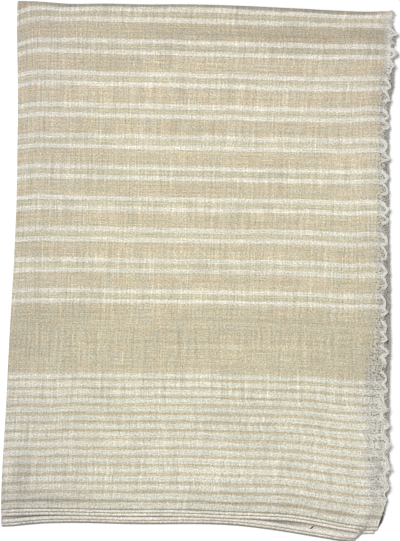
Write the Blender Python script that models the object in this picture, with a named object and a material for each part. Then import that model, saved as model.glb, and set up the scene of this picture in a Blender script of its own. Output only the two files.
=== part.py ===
"""A woven pashmina shawl, folded flat.

The cloth is 0.71 m wide and 2.04 m long. It is folded in half across its width, and then in four
along its length, so eight plies lie on each other. The folds of the width are on the left (-X).
Both selvedges of the cloth, with their weft loops, are on the right (+X). The far edge (+Y) is
the fold that the top ply turns down over. The near edge (-Y) shows the four cut ends of the
cloth, and under them the fold between the third and the fourth quarter of the length. The six
lower plies share one solid.
"""
import math
import random
from collections import namedtuple

import bmesh
import bpy
from mathutils import Vector

MM = 0.001

# ---- the cloth and its folding ----
CLOTH_WIDTH = 711 * MM
PLIES = 8
PLY_PITCH = 1.6 * MM                        # height that one ply takes in the stack
PLY_WALL = 1.3 * MM                         # height of one ply's own cloth
SEAM_GAP = 0.3 * MM                         # air between two pieces
LOWER_PLIES = PLIES - 2                     # the plies that share one solid
STACK_HEIGHT = PLIES * PLY_PITCH

# ---- the far fold, half an ellipse seen from the side ----
FAR_FOLD_LINE = 251.5 * MM                  # where the flat cloth starts to turn down
FAR_FOLD_DEPTH = 5.0 * MM                   # how far the turn stands out past that line
FAR_FOLD_LIP = math.radians(-50)            # where the top ply's turn ends, below level
FAR_FOLD_STEPS = 8
SECOND_FAR_END = 251.7 * MM                 # where the second ply ends, inside the turn
LIP_SLACK = 0.02 * MM                       # the lower plies' ledge lies this far below the lip's gap

# ---- the near end ----
NEAR_END = -246.6 * MM                      # the top ply's cut end
END_STAGGER = 3.0 * MM                      # the second ply's end stands this far past it
NEAR_FOLD = -258.6 * MM                     # the fold under the cut ends
SAG_FADE = (-95 * MM, -235 * MM)            # the sag of the near end grows between these

# ---- edges ----
FOLD_ROUND = 1.1 * MM                       # rounding of a ply at the fold of the width
CUT_ROUND = 0.5 * MM                        # rounding of a ply at a selvedge or a cut end
RUFFLE_REACH = 20 * MM                      # how far a ruffle runs in from the selvedge
CORNER_DROOP = 5 * MM                       # how far a corner with nothing under it hangs down
DROOP_START, DROOP_END = 2 * MM, 18 * MM    # past the lower plies' edge
GROOVE = 0.8 * MM                           # depth of the groove between two selvedges
END_GROOVE = 0.5 * MM                       # depth of the groove between two cut ends
FOLD_GROOVE = 1.3 * MM                      # depth of the groove between two folds
CREASE_FADE = 30 * MM                       # the creases end this far from the far fold
CORNER_ROUND = 5 * MM                       # plan rounding of the lower plies' corners
CORNER_STEPS = 3

# ---- mesh density ----
TOP_COLUMNS, TOP_ROWS = 14, 30
NEAR_CORNER, CORNER_LINES = (-246 * MM, -206 * MM), 10
EDGE_COLUMNS = (3 * MM, 8 * MM, 15 * MM)    # more columns this far in from a selvedge
EDGE_LINE_SHARE = 0.3                       # share of a rounded edge before its extra line
RUFFLE_CLEARANCE = 2 * MM                   # other lines stay this far from the ruffled stretch
SECOND_COLUMNS, SECOND_ROWS = 9, 26
SIDE_STEPS, END_STEPS = 24, 22

Row = namedtuple("Row", "along across")     # a point of an edge that runs near to far
Drop = namedtuple("Drop", "across drop")    # how far an end hangs nearer than its own line
Crease = namedtuple("Crease", "across along turn length width height")
Ply = namedtuple("Ply", "right_in near_in")
Ruffle = namedtuple("Ruffle", "start pitch waves height")
Reach = namedtuple("Reach", "along reach")  # how far loops stand out, near to far

# the fold of the width, seen from above
LEFT_FOLD = [
    Row(-262 * MM, -183.6 * MM),
    Row(-221 * MM, -183.8 * MM),
    Row(-144 * MM, -182.2 * MM),
    Row(-85 * MM, -181.4 * MM),
    Row(-6 * MM, -179.6 * MM),
    Row(53 * MM, -179.2 * MM),
    Row(154 * MM, -181.2 * MM),
    Row(200 * MM, -183.4 * MM),
    Row(257 * MM, -185.5 * MM),
]
# the top ply's selvedge: it flares at both ends and runs straight between them
TOP_SELVEDGE = [
    Row(-262 * MM, 171.5 * MM),
    Row(-246 * MM, 175.8 * MM),
    Row(-226 * MM, 180.6 * MM),
    Row(-206 * MM, 182.6 * MM),
    Row(-136 * MM, 181.6 * MM),
    Row(-110 * MM, 178.8 * MM),
    Row(-80 * MM, 175.6 * MM),
    Row(-38 * MM, 174.4 * MM),
    Row(61 * MM, 173.8 * MM),
    Row(131 * MM, 173.6 * MM),
    Row(165 * MM, 175.6 * MM),
    Row(188 * MM, 180.6 * MM),
    Row(212 * MM, 184.0 * MM),
    Row(257 * MM, 183.6 * MM),
]
SECOND_SELVEDGE = [
    Row(-262 * MM, 169.5 * MM),
    Row(-232 * MM, 179.5 * MM),
    Row(-206 * MM, 182.4 * MM),
    Row(-120 * MM, 182.0 * MM),
    Row(-38 * MM, 182.0 * MM),
    Row(61 * MM, 180.9 * MM),
    Row(150 * MM, 180.9 * MM),
    Row(257 * MM, 183.2 * MM),
]
LOWER_SELVEDGE = [
    Row(-272 * MM, 151.0 * MM),
    Row(-262 * MM, 157.0 * MM),
    Row(-245 * MM, 168.0 * MM),
    Row(-218 * MM, 177.5 * MM),
    Row(-184 * MM, 181.0 * MM),
    Row(-38 * MM, 180.8 * MM),
    Row(61 * MM, 179.8 * MM),
    Row(150 * MM, 180.0 * MM),
    Row(257 * MM, 181.6 * MM),
]
# the near end hangs lower towards the right
UPPER_SAG = [
    Drop(-186 * MM, 2.4 * MM),
    Drop(-165 * MM, 1.2 * MM),
    Drop(-140 * MM, 0.3 * MM),
    Drop(-60 * MM, 0.0 * MM),
    Drop(66 * MM, 0.0 * MM),
    Drop(90 * MM, 1.0 * MM),
    Drop(108 * MM, 3.0 * MM),
    Drop(126 * MM, 6.2 * MM),
    Drop(146 * MM, 9.2 * MM),
    Drop(184 * MM, 9.6 * MM),
]
LOWER_SAG = [
    Drop(-186 * MM, 4.0 * MM),
    Drop(-170 * MM, 2.8 * MM),
    Drop(-152 * MM, 1.0 * MM),
    Drop(-60 * MM, 0.0 * MM),
    Drop(50 * MM, 0.0 * MM),
    Drop(82 * MM, 3.6 * MM),
    Drop(121 * MM, 9.2 * MM),
    Drop(142 * MM, 12.2 * MM),
    Drop(184 * MM, 12.6 * MM),
]
# soft creases that stand up from the top ply; turn is counted from the packet's width
CREASES = [
    Crease(-120 * MM, 40 * MM, math.radians(83), 300 * MM, 34 * MM, 0.5 * MM),
    Crease(20 * MM, -60 * MM, math.radians(97), 260 * MM, 42 * MM, 0.4 * MM),
    Crease(118 * MM, 120 * MM, math.radians(86), 230 * MM, 36 * MM, 0.5 * MM),
    Crease(-60 * MM, -215 * MM, math.radians(4), 190 * MM, 30 * MM, 0.4 * MM),
    Crease(110 * MM, -170 * MM, math.radians(-14), 150 * MM, 34 * MM, 0.7 * MM),
    Crease(-20 * MM, 205 * MM, math.radians(2), 250 * MM, 34 * MM, 0.4 * MM),
]
# the waves of the top ply's selvedge, where more cloth lies in it than along the fold
RUFFLES = [
    Ruffle(-238 * MM, 8.2 * MM, 15, 1.0 * MM),
    Ruffle(186 * MM, 9.6 * MM, 6, 0.8 * MM),
]
# the lower plies from the floor up: how far each stays inside the widest of them
LOWER_PLY_EDGES = [
    Ply(2.0 * MM, 0.0 * MM),
    Ply(0.9 * MM, 0.0 * MM),
    Ply(1.6 * MM, 0.0 * MM),
    Ply(0.0 * MM, 0.0 * MM),
    Ply(1.2 * MM, 2.7 * MM),
    Ply(0.5 * MM, 5.9 * MM),
]


def curve_at(rows, at):
    """The second value of rows where the first one is at, on a smooth curve through the rows."""
    ends = (rows[0][0], rows[-1][0])
    at = min(max(at, ends[0]), ends[1])
    index = next(i for i in range(1, len(rows)) if at <= rows[i][0])
    before, after = rows[index - 1], rows[index]
    first = rows[max(index - 2, 0)]
    last = rows[min(index + 1, len(rows) - 1)]
    span = after[0] - before[0]
    slope_in = (after[1] - first[1]) / (after[0] - first[0]) * span
    slope_out = (last[1] - before[1]) / (last[0] - before[0]) * span
    t = (at - before[0]) / span
    return (
        (2 * t**3 - 3 * t**2 + 1) * before[1] + (t**3 - 2 * t**2 + t) * slope_in
        + (3 * t**2 - 2 * t**3) * after[1] + (t**3 - t**2) * slope_out
    )


def smooth_step(low, high, value):
    t = min(max((value - low) / (high - low), 0.0), 1.0)
    return t * t * (3 - 2 * t)


def lerp(low, high, t):
    return low + (high - low) * t


def edge_place(edge, line):
    """(x, y) of an upper ply's edge on this line of the cloth, with the sag of its near end."""
    x = curve_at(edge, line)
    return x, line - curve_at(UPPER_SAG, x) * smooth_step(*SAG_FADE, line)


def round_over(distance, radius):
    """How far a quarter round of this radius is below its top, this far in from the edge."""
    inward = max(radius - distance, 0.0)
    return radius - math.sqrt(max(radius**2 - inward**2, 0.0))


def crease_height(x, y):
    """Height of the soft creases over the flat cloth at one place."""
    height = 0.0
    for crease in CREASES:
        dx, dy = x - crease.across, y - crease.along
        forward = dx * math.cos(crease.turn) + dy * math.sin(crease.turn)
        sideways = -dx * math.sin(crease.turn) + dy * math.cos(crease.turn)
        reach = 1 - min(abs(forward) / (crease.length / 2), 1.0) ** 2
        height += crease.height * reach * math.exp(-(2 * sideways / crease.width) ** 2)
    return height


def ruffle_height(inward, line):
    """Height of the selvedge's ruffles, this far in from it, on this line of the cloth."""
    height = 0.0
    for ruffle in RUFFLES:
        wave = (line - ruffle.start) / ruffle.pitch
        if 0 < wave < ruffle.waves:
            height += ruffle.height * (1 - math.cos(2 * math.pi * wave)) / 2
    return height * smooth_step(RUFFLE_REACH, 0.0, inward)


def corner_droop(x, y):
    """How far an upper ply hangs down where the lower plies don't reach."""
    return CORNER_DROOP * smooth_step(DROOP_START, DROOP_END, x - curve_at(LOWER_SELVEDGE, y))


def far_fold_point(inset, angle):
    """(y, z) on the far fold, this far inside its outer face, at an angle above level."""
    deep = FAR_FOLD_DEPTH - inset
    high = STACK_HEIGHT / 2 - inset
    return (
        FAR_FOLD_LINE + deep * math.cos(angle),
        STACK_HEIGHT / 2 + high * math.sin(angle),
    )


FAR_FOLD_LIP_Z = far_fold_point(0.0, FAR_FOLD_LIP)[1]


def make_object(name, mesh_data, base_color):
    """An object from a finished bmesh, smooth shaded, with a plain fabric material."""
    bmesh.ops.recalc_face_normals(mesh_data, faces=mesh_data.faces)
    mesh = bpy.data.meshes.new(name)
    mesh_data.to_mesh(mesh)
    mesh_data.free()
    mesh.shade_smooth()
    mesh.set_sharp_from_angle(angle=math.radians(50))
    material = bpy.data.materials.new(name + "_cloth")
    material.use_nodes = True
    shader = material.node_tree.nodes["Principled BSDF"]
    shader.inputs["Base Color"].default_value = (*base_color, 1.0)
    shader.inputs["Roughness"].default_value = 0.92
    shader.inputs["Metallic"].default_value = 0.0
    mesh.materials.append(material)
    obj = bpy.data.objects.new(name, mesh)
    bpy.context.collection.objects.link(obj)
    return obj


def make_ply(name, outer, inner, base_color):
    """A ply of cloth between two grids of points, closed along its four edges."""
    mesh_data = bmesh.new()
    rows, columns = len(outer), len(outer[0])
    over = [[mesh_data.verts.new(point) for point in row] for row in outer]
    under = [[mesh_data.verts.new(point) for point in row] for row in inner]
    for r in range(rows - 1):
        for c in range(columns - 1):
            mesh_data.faces.new((over[r][c], over[r][c + 1], over[r + 1][c + 1], over[r + 1][c]))
            mesh_data.faces.new((under[r][c], under[r + 1][c], under[r + 1][c + 1], under[r][c + 1]))
    rim = (
        [(0, c) for c in range(columns)]
        + [(r, columns - 1) for r in range(1, rows)]
        + [(rows - 1, c) for c in range(columns - 2, -1, -1)]
        + [(r, 0) for r in range(rows - 2, 0, -1)]
    )
    for (r0, c0), (r1, c1) in zip(rim, rim[1:] + rim[:1]):
        mesh_data.faces.new((over[r0][c0], over[r1][c1], under[r1][c1], under[r0][c0]))
    return make_object(name, mesh_data, base_color)


def spaced(low, high, count, low_round, high_round):
    """Places from low to high, with one more inside the rounded edge at each end."""
    inner = [lerp(low + low_round, high - high_round, i / count) for i in range(count + 1)]
    low_line, high_line = low + EDGE_LINE_SHARE * low_round, high - EDGE_LINE_SHARE * high_round
    return [low, low_line] + inner + [high_line, high]


def column_shares(count):
    """Shares of a ply's width, from its fold to its selvedge, for the columns of its grid."""
    width = CLOTH_WIDTH / 2
    shares = spaced(0.0, 1.0, count, FOLD_ROUND / width, CUT_ROUND / width)
    return sorted(shares + [1 - inward / width for inward in EDGE_COLUMNS])


def ruffled_lines(lines):
    """The same lines, with one on each crest and each trough where the selvedge is ruffled."""
    for ruffle in RUFFLES:
        low = ruffle.start - RUFFLE_CLEARANCE
        high = ruffle.start + ruffle.waves * ruffle.pitch + RUFFLE_CLEARANCE
        lines = [line for line in lines if not low < line < high]
        lines += [ruffle.start + half * ruffle.pitch / 2 for half in range(2 * ruffle.waves + 1)]
    return sorted(lines)


def flat_ply_grids(selvedge, lines, base_z, shares, is_top):
    """Outer and inner points of the flat stretch of a ply, row by row from the near end."""
    near_end, far_end = lines[0], lines[-1]
    outer, inner = [], []
    for line in lines:
        left, right = curve_at(LEFT_FOLD, line), curve_at(selvedge, line)
        before_fold = smooth_step(FAR_FOLD_LINE, FAR_FOLD_LINE - CREASE_FADE, line)
        outer_row, inner_row = [], []
        for share in shares:
            x = lerp(left, right, share)
            y = line - curve_at(UPPER_SAG, x) * smooth_step(*SAG_FADE, line)
            drop = max(
                round_over(x - left, FOLD_ROUND),
                round_over(right - x, CUT_ROUND),
                round_over(line - near_end, CUT_ROUND),
                0.0 if is_top else round_over(far_end - line, CUT_ROUND),
            )
            under_z = base_z - corner_droop(x, y)
            swell = 0.0
            if is_top:
                under_z += ruffle_height(right - x, line)
                swell = crease_height(x, y) * before_fold if drop == 0.0 else 0.0
            inner_row.append(Vector((x, y, under_z)))
            outer_row.append(Vector((x, y, under_z + PLY_WALL - drop + swell)))
        outer.append(outer_row)
        inner.append(inner_row)
    return outer, inner


def build_top_ply():
    """The ply that faces up, and its turn down over the far fold."""
    base_z = STACK_HEIGHT - PLY_WALL
    lines = spaced(NEAR_END, FAR_FOLD_LINE, TOP_ROWS, CUT_ROUND, CUT_ROUND)
    lines.append((NEAR_END + RUFFLES[0].start) / 2)
    shares = column_shares(TOP_COLUMNS)
    outer, inner = flat_ply_grids(TOP_SELVEDGE, ruffled_lines(lines), base_z, shares, True)
    flat_row = outer[-1]
    for step in range(1, FAR_FOLD_STEPS + 1):
        angle = lerp(math.pi / 2, FAR_FOLD_LIP, step / FAR_FOLD_STEPS)
        outer_y, outer_z = far_fold_point(0.0, angle)
        inner_y, inner_z = far_fold_point(PLY_WALL, angle)
        outer_row, inner_row = [], []
        for flat_point in flat_row:
            inside = Vector((flat_point.x, inner_y, inner_z))
            outside = Vector((flat_point.x, outer_y, outer_z))
            cover = (flat_point.z - base_z) / PLY_WALL
            outer_row.append(inside.lerp(outside, min(cover, 1.0)))
            inner_row.append(inside)
        outer.append(outer_row)
        inner.append(inner_row)
    return make_ply("top_ply", outer, inner, (0.60, 0.55, 0.43))


def build_second_ply():
    """The other half of the width, which lies just under the top ply."""
    base_z = STACK_HEIGHT - PLY_PITCH - PLY_WALL
    lines = spaced(NEAR_END - END_STAGGER, SECOND_FAR_END, SECOND_ROWS, CUT_ROUND, CUT_ROUND)
    lines = [line for line in lines if not NEAR_CORNER[0] < line < NEAR_CORNER[1]]
    lines += [lerp(*NEAR_CORNER, step / CORNER_LINES) for step in range(CORNER_LINES + 1)]
    shares = column_shares(SECOND_COLUMNS)
    outer, inner = flat_ply_grids(SECOND_SELVEDGE, sorted(lines), base_z, shares, False)
    return make_ply("second_ply", outer, inner, (0.50, 0.46, 0.36))


def lower_outline():
    """The lower plies seen from above, as (point, outward direction, weights of the sides).

    The weights say how much the left, near, right and far side's own inset counts there.
    """
    def left(y):
        return curve_at(LEFT_FOLD, y)

    def right(y):
        return curve_at(LOWER_SELVEDGE, y)

    def near(x):
        return NEAR_FOLD - curve_at(LOWER_SAG, x)

    far = FAR_FOLD_LINE
    round_in = CORNER_ROUND
    corner_left, corner_right = left(NEAR_FOLD), right(NEAR_FOLD - LOWER_SAG[-1].drop)
    low_left, low_right = near(corner_left), near(corner_right)
    points = []

    def corner(x, y, start, first_side, second_side):
        for step in range(CORNER_STEPS + 1):
            share = step / CORNER_STEPS
            angle = start + share * math.pi / 2
            out = Vector((math.cos(angle), math.sin(angle), 0))
            weights = [0.0] * 4
            weights[first_side] = 1 - share
            weights[second_side] = share
            points.append((Vector((x, y, 0)) + out * round_in, out, weights))

    for step in range(1, SIDE_STEPS):
        y = lerp(far - round_in, low_left + round_in, step / SIDE_STEPS)
        points.append((Vector((left(y), y, 0)), Vector((-1, 0, 0)), [1, 0, 0, 0]))
    corner(corner_left + round_in, low_left + round_in, math.pi, 0, 1)
    for step in range(1, END_STEPS):
        x = lerp(corner_left + round_in, corner_right - round_in, step / END_STEPS)
        points.append((Vector((x, near(x), 0)), Vector((0, -1, 0)), [0, 1, 0, 0]))
    corner(corner_right - round_in, low_right + round_in, 1.5 * math.pi, 1, 2)
    for step in range(1, SIDE_STEPS):
        y = lerp(low_right + round_in, far - round_in, step / SIDE_STEPS)
        points.append((Vector((right(y), y, 0)), Vector((1, 0, 0)), [0, 0, 1, 0]))
    corner(right(far) - round_in, far - round_in, 0.0, 2, 3)
    for step in range(1, END_STEPS // 2):
        x = lerp(right(far) - round_in, left(far) + round_in, step / (END_STEPS // 2))
        points.append((Vector((x, far, 0)), Vector((0, 1, 0)), [0, 0, 0, 1]))
    corner(left(far) + round_in, far - round_in, 0.5 * math.pi, 3, 0)
    return points


def lower_insets(height, ply, at_crest):
    """How far the left, near, right and far side stay in at this height of the lower plies."""
    pair = 2 * PLY_PITCH
    in_pair = abs((height % pair) / pair - 0.5) * 2
    fold_in = FOLD_GROOVE * (1 - math.sqrt(max(1 - in_pair**2, 0.0)))
    edges = LOWER_PLY_EDGES[ply]
    selvedge_in = edges.right_in + (0.0 if at_crest else GROOVE)
    near_in = edges.near_in + (0.0 if at_crest else END_GROOVE)
    fold_height = 4 * PLY_PITCH
    if edges.near_in == 0.0:
        over = min(abs(2 * height / fold_height - 1), 1.0)
        near_in = fold_height / 2 * (1 - math.sqrt(1 - over**2))
    under_lip = height < FAR_FOLD_LIP_Z - SEAM_GAP
    inside_turn = 0.0 if under_lip else PLY_WALL + SEAM_GAP
    deep, high = FAR_FOLD_DEPTH - inside_turn, STACK_HEIGHT / 2 - inside_turn
    rise = min(abs(height - STACK_HEIGHT / 2) / high, 1.0)
    far_in = -deep * math.sqrt(1 - rise**2)
    return fold_in, near_in, selvedge_in, far_in


def build_lower_plies():
    """The six lower plies as one solid: rings of points from the floor up."""
    half = PLY_PITCH / 2
    levels = [(step * half, min(step // 2, LOWER_PLIES - 1), step % 2 == 1)
              for step in range(2 * LOWER_PLIES)]
    levels.append((FAR_FOLD_LIP_Z - SEAM_GAP - LIP_SLACK, 0, False))
    levels.append((LOWER_PLIES * PLY_PITCH - SEAM_GAP, LOWER_PLIES - 1, False))
    levels.sort()
    mesh_data = bmesh.new()
    outline = lower_outline()
    rings = []
    for height, ply, at_crest in levels:
        insets = lower_insets(height, ply, at_crest)
        ring = []
        for point, outward, weights in outline:
            inset = sum(weight * amount for weight, amount in zip(weights, insets))
            place = point - outward * inset
            ring.append(mesh_data.verts.new((place.x, place.y, height)))
        rings.append(ring)
    for low, high in zip(rings, rings[1:]):
        for i in range(len(low)):
            j = (i + 1) % len(low)
            mesh_data.faces.new((low[i], low[j], high[j], high[i]))
    mesh_data.faces.new(rings[0])
    mesh_data.faces.new(rings[-1])
    return make_object("folded_layers", mesh_data, (0.54, 0.50, 0.40))


Loops = namedtuple(
    "Loops", "name selvedge ruffled start stop count middle_z reach sweep droop steps seed"
)

LOOP_STRIP_WIDTH = 0.8 * MM                 # the strip that the loops' roots are woven into
LOOP_STRIP_HEIGHT = 1.0 * MM
LOOP_STRIP_SLACK = 0.1 * MM                 # more air, as the strip's facets cut the curve
LOOP_ROOT = 1.7 * MM                        # a loop's width at its root
LOOP_TIP_SHARE = 0.4                        # a loop's tip against its root
LOOP_UNEVEN = 0.25                          # how uneven the loops are

# the top ply's loops are long where its selvedge runs straight and short where it flares
TOP_REACH = [
    Reach(-262 * MM, 2.2 * MM),
    Reach(-184 * MM, 2.8 * MM),
    Reach(-120 * MM, 4.4 * MM),
    Reach(-80 * MM, 6.4 * MM),
    Reach(160 * MM, 6.4 * MM),
    Reach(200 * MM, 5.0 * MM),
    Reach(257 * MM, 3.6 * MM),
]
EVEN_REACH = [Reach(-262 * MM, 1.7 * MM), Reach(257 * MM, 1.7 * MM)]

LOOP_ROWS = [
    Loops("top_selvedge_loops", TOP_SELVEDGE, True, -230 * MM, 247 * MM, 50,
          STACK_HEIGHT - 0.5 * PLY_WALL, TOP_REACH, 4.0 * MM, 0.0 * MM, 3, 11),
    Loops("second_selvedge_loops", SECOND_SELVEDGE, False, -222 * MM, 247 * MM, 48,
          STACK_HEIGHT - PLY_PITCH - 0.5 * PLY_WALL, EVEN_REACH, 2.0 * MM, 1.2 * MM, 2, 12),
    Loops("lower_selvedge_loops", LOWER_SELVEDGE, False, -206 * MM, 247 * MM, 46,
          3.5 * PLY_PITCH, EVEN_REACH, 2.0 * MM, 2.4 * MM, 2, 13),
]


def build_loops(row):
    """One selvedge's weft loops: strands of four sides drawn out of a narrow strip."""
    uneven = random.Random(row.seed)
    mesh_data = bmesh.new()
    pitch = (row.stop - row.start) / row.count
    gap = SEAM_GAP + LOOP_STRIP_SLACK

    def strip_ring(line):
        edge, y = edge_place(row.selvedge, line)
        inside = edge + gap
        middle_z = row.middle_z - corner_droop(inside, y)
        if row.ruffled:
            middle_z += ruffle_height(0.0, line)
        low, high = middle_z - LOOP_STRIP_HEIGHT / 2, middle_z + LOOP_STRIP_HEIGHT / 2
        corners = [(inside, low), (inside + LOOP_STRIP_WIDTH, low),
                   (inside + LOOP_STRIP_WIDTH, high), (inside, high)]
        return [mesh_data.verts.new((x, y, z)) for x, z in corners]

    rings, rooted = [strip_ring(row.start)], []
    for number in range(row.count):
        middle = row.start + (number + 0.5) * pitch
        rings.append(strip_ring(middle - LOOP_ROOT / 2))
        rooted.append(len(rings) - 1)
        rings.append(strip_ring(middle + LOOP_ROOT / 2))
    rings.append(strip_ring(row.stop))

    for index, (near, far) in enumerate(zip(rings, rings[1:])):
        for side in range(4):
            after = (side + 1) % 4
            if side == 1 and index in rooted:
                continue
            mesh_data.faces.new((near[side], near[after], far[after], far[side]))
    mesh_data.faces.new(rings[0])
    mesh_data.faces.new(rings[-1])

    for index in rooted:
        near, far = rings[index], rings[index + 1]
        ring = [near[1], far[1], far[2], near[2]]
        root = sum((vertex.co for vertex in ring), Vector()) / len(ring)
        shape = [vertex.co - root for vertex in ring]
        reach = curve_at(row.reach, root.y) * uneven.uniform(1 - LOOP_UNEVEN, 1 + LOOP_UNEVEN)
        sweep = row.sweep * uneven.uniform(1 - LOOP_UNEVEN, 1 + LOOP_UNEVEN)
        for step in range(1, row.steps + 1):
            share = step / row.steps
            turn = share * math.pi / 2
            centre = root + Vector((
                reach * math.sin(turn), -sweep * (1 - math.cos(turn)), -row.droop * share**2
            ))
            size = lerp(1.0, LOOP_TIP_SHARE, share)
            lean = Vector((-math.sin(turn), -math.cos(turn), 0))
            drawn = []
            for offset in shape:
                across = lean * (-offset.y) * size
                drawn.append(mesh_data.verts.new(centre + across + Vector((0, 0, offset.z * size))))
            for side in range(4):
                after = (side + 1) % 4
                mesh_data.faces.new((ring[side], ring[after], drawn[after], drawn[side]))
            ring = drawn
        mesh_data.faces.new(ring)
    return make_object(row.name, mesh_data, (0.66, 0.63, 0.55))


def centre_on_origin(objects):
    """Move every point so that the shawl's box stands centred on the origin, on z = 0."""
    points = [vertex.co for obj in objects for vertex in obj.data.vertices]
    shift = Vector((
        -(min(p.x for p in points) + max(p.x for p in points)) / 2,
        -(min(p.y for p in points) + max(p.y for p in points)) / 2,
        -min(p.z for p in points),
    ))
    for obj in objects:
        for vertex in obj.data.vertices:
            vertex.co += shift


def build_shawl():
    for obj in list(bpy.data.objects):
        bpy.data.objects.remove(obj)
    pieces = [build_top_ply(), build_second_ply(), build_lower_plies()]
    pieces += [build_loops(row) for row in LOOP_ROWS]
    centre_on_origin(pieces)


build_shawl()
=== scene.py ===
# %% [markdown]
# # A folded pashmina shawl
#
# The shawl is a single woven cloth, about 0.71 m wide and 2.04 m long. It lies folded in half
# across its width and then in four along its length, so it is eight plies thick. This lesson
# builds it the way it exists: one sheet, bent round its folds by a rule, with the woven stripes
# carried by the cloth's own coordinates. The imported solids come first, because they fix where
# every ply lies.

import math
from collections import namedtuple
from types import SimpleNamespace

import bpy
import numpy as np
from mathutils import Matrix, Vector


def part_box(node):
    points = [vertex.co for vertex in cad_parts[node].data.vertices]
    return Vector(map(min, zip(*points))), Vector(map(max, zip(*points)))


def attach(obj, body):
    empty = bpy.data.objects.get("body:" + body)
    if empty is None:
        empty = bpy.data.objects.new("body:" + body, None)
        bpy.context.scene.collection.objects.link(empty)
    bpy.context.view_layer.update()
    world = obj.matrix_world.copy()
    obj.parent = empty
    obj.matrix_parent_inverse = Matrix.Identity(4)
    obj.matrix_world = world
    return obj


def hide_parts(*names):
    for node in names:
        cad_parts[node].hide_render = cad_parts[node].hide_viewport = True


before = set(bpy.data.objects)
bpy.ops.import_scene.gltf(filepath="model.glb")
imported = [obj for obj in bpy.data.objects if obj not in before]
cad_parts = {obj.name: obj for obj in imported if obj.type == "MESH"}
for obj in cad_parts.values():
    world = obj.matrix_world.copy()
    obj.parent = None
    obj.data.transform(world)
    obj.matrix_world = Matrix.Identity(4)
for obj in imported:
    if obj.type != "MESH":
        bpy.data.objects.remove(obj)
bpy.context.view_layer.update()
MM = 0.001
print("solids:", sorted(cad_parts))

# %% [markdown]
# ## Sizes of the folded packet
#
# A maker would measure the packet with a ruler: where the folds lie, how high a ply is, how far
# each cut end stands past the one above. The same few sizes place everything below. Distances
# are counted from a middle point of the packet, and `packet_shift` moves that point to where the
# solids have it.

# %% Name the packet's sizes
CLOTH_WIDTH = 711 * MM
HALF_WIDTH = CLOTH_WIDTH / 2
PLY_PITCH = 1.6 * MM
CLOTH_THICKNESS = 0.7 * MM
STACK_HEIGHT = 8 * PLY_PITCH
FAR_LINE = 251.5 * MM  # where the top pair starts its turn over the far edge
FAR_DEPTH = 5.0 * MM  # how far that turn stands out
INNER_FAR_LINE = 250.4 * MM
NEAR_LINE = -255.9 * MM
NEAR_END = -246.8 * MM  # the cut end of the top pair
LOWER_NEAR_END = -252.6 * MM
END_STAGGER = 3.0 * MM  # between the cut ends of a pair's two plies
LOWER_STAGGER = 3.4 * MM
print("the stack is", round(STACK_HEIGHT / MM, 1), "mm high")

# %% [markdown]
# ## The packet's outline
#
# No edge of a folded cloth is quite straight. Each one is written down as a short table of where
# a ruler laid along the packet meets it, and a smooth curve joins the rows. The sag and bow
# tables do the same across the packet, for the cut ends and the far fold.

# %% Draw the outline from short tables


def table(columns, *rows):
    """Rows of numbers, usually millimetres, under named columns."""
    row = namedtuple("Row", columns)
    return [row(*numbers) for numbers in rows]


def smooth_curve(columns, *rows):
    """A smooth curve through a table in millimetres, as a function from metres to metres."""
    place, value = np.array(table(columns, *rows), float).T * MM
    slope = np.gradient(value, place)

    def at(where):
        where = np.clip(where, place[0], place[-1])
        index = np.clip(np.searchsorted(place, where) - 1, 0, len(place) - 2)
        span = place[index + 1] - place[index]
        t = (where - place[index]) / span
        return (
            (2 * t**3 - 3 * t**2 + 1) * value[index]
            + (t**3 - 2 * t**2 + t) * span * slope[index]
            + (3 * t**2 - 2 * t**3) * value[index + 1]
            + (t**3 - t**2) * span * slope[index + 1]
        )

    return at


left_fold = smooth_curve(
    "along across",
    (-262, -183.6), (-221, -183.8), (-144, -182.2), (-85, -181.4), (-6, -179.6), (53, -179.2),
    (110, -180.2), (154, -181.2), (200, -183.4), (235, -185.0), (257, -185.5),
)
top_selvedge = smooth_curve(
    "along across",
    (-262, 171.5), (-246, 175.8), (-226, 181.8), (-206, 182.9), (-176, 182.8), (-136, 179.8),
    (-110, 178.8), (-80, 178.0), (-38, 177.6), (61, 177.4), (131, 177.2), (165, 178.4),
    (188, 181.4), (212, 183.8), (236, 183.8), (247, 184.4), (252, 187.0), (257, 189.6),
)
second_selvedge = smooth_curve(
    "along across",
    (-262, 170.4), (-246, 176.5), (-241, 179.6), (-236, 180.9), (-226, 182.1), (-206, 184.0),
    (-176, 184.0), (-140, 184.0), (-118, 184.0), (-80, 184.8), (-38, 184.4), (61, 182.2),
    (110, 182.0), (148, 182.0), (162, 182.8), (178, 186.0), (198, 186.2), (214, 185.6),
    (236, 187.4), (245, 182.2), (257, 181.6),
)
lower_selvedge = smooth_curve(
    "along across",
    (-262, 148.5), (-256, 153.6), (-246, 164.0), (-220, 176.5), (-184, 181.0), (-38, 180.8),
    (61, 179.8), (150, 180.0), (257, 181.6),
)
upper_sag = smooth_curve(
    "across drop",
    (-186, 2.4), (-165, 1.2), (-140, 0.3), (-70, 0.0), (-16, -1.1), (40, -0.2), (66, 0.1),
    (90, 1.0), (108, 3.0), (126, 6.2), (146, 9.4), (160, 10.8), (170, 10.6), (184, 9.6),
)
lower_sag = smooth_curve(
    "across drop",
    (-186, 5.4), (-170, 4.3), (-152, 1.9), (-130, 0.5), (-60, 0.0), (50, 0.0), (82, 3.6),
    (121, 9.2), (142, 12.2), (184, 12.6),
)
far_bow = smooth_curve(
    "across rise",
    (-186, 1.5), (-160, 0.6), (-135, -0.8), (-97, 0.2), (-60, 0.2), (-20, 1.2), (40, 0.8),
    (77, -0.2), (100, -0.9), (125, -1.8), (176, -1.5), (182, -0.8), (190, 1.6),
)
top_low, top_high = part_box("top_ply")
packet_shift = np.array([
    top_low.x - left_fold(FAR_LINE), top_high.y - (FAR_LINE + FAR_DEPTH), 0.0
])
print("the packet's middle is moved by", np.round(packet_shift / MM, 2), "mm")

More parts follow.
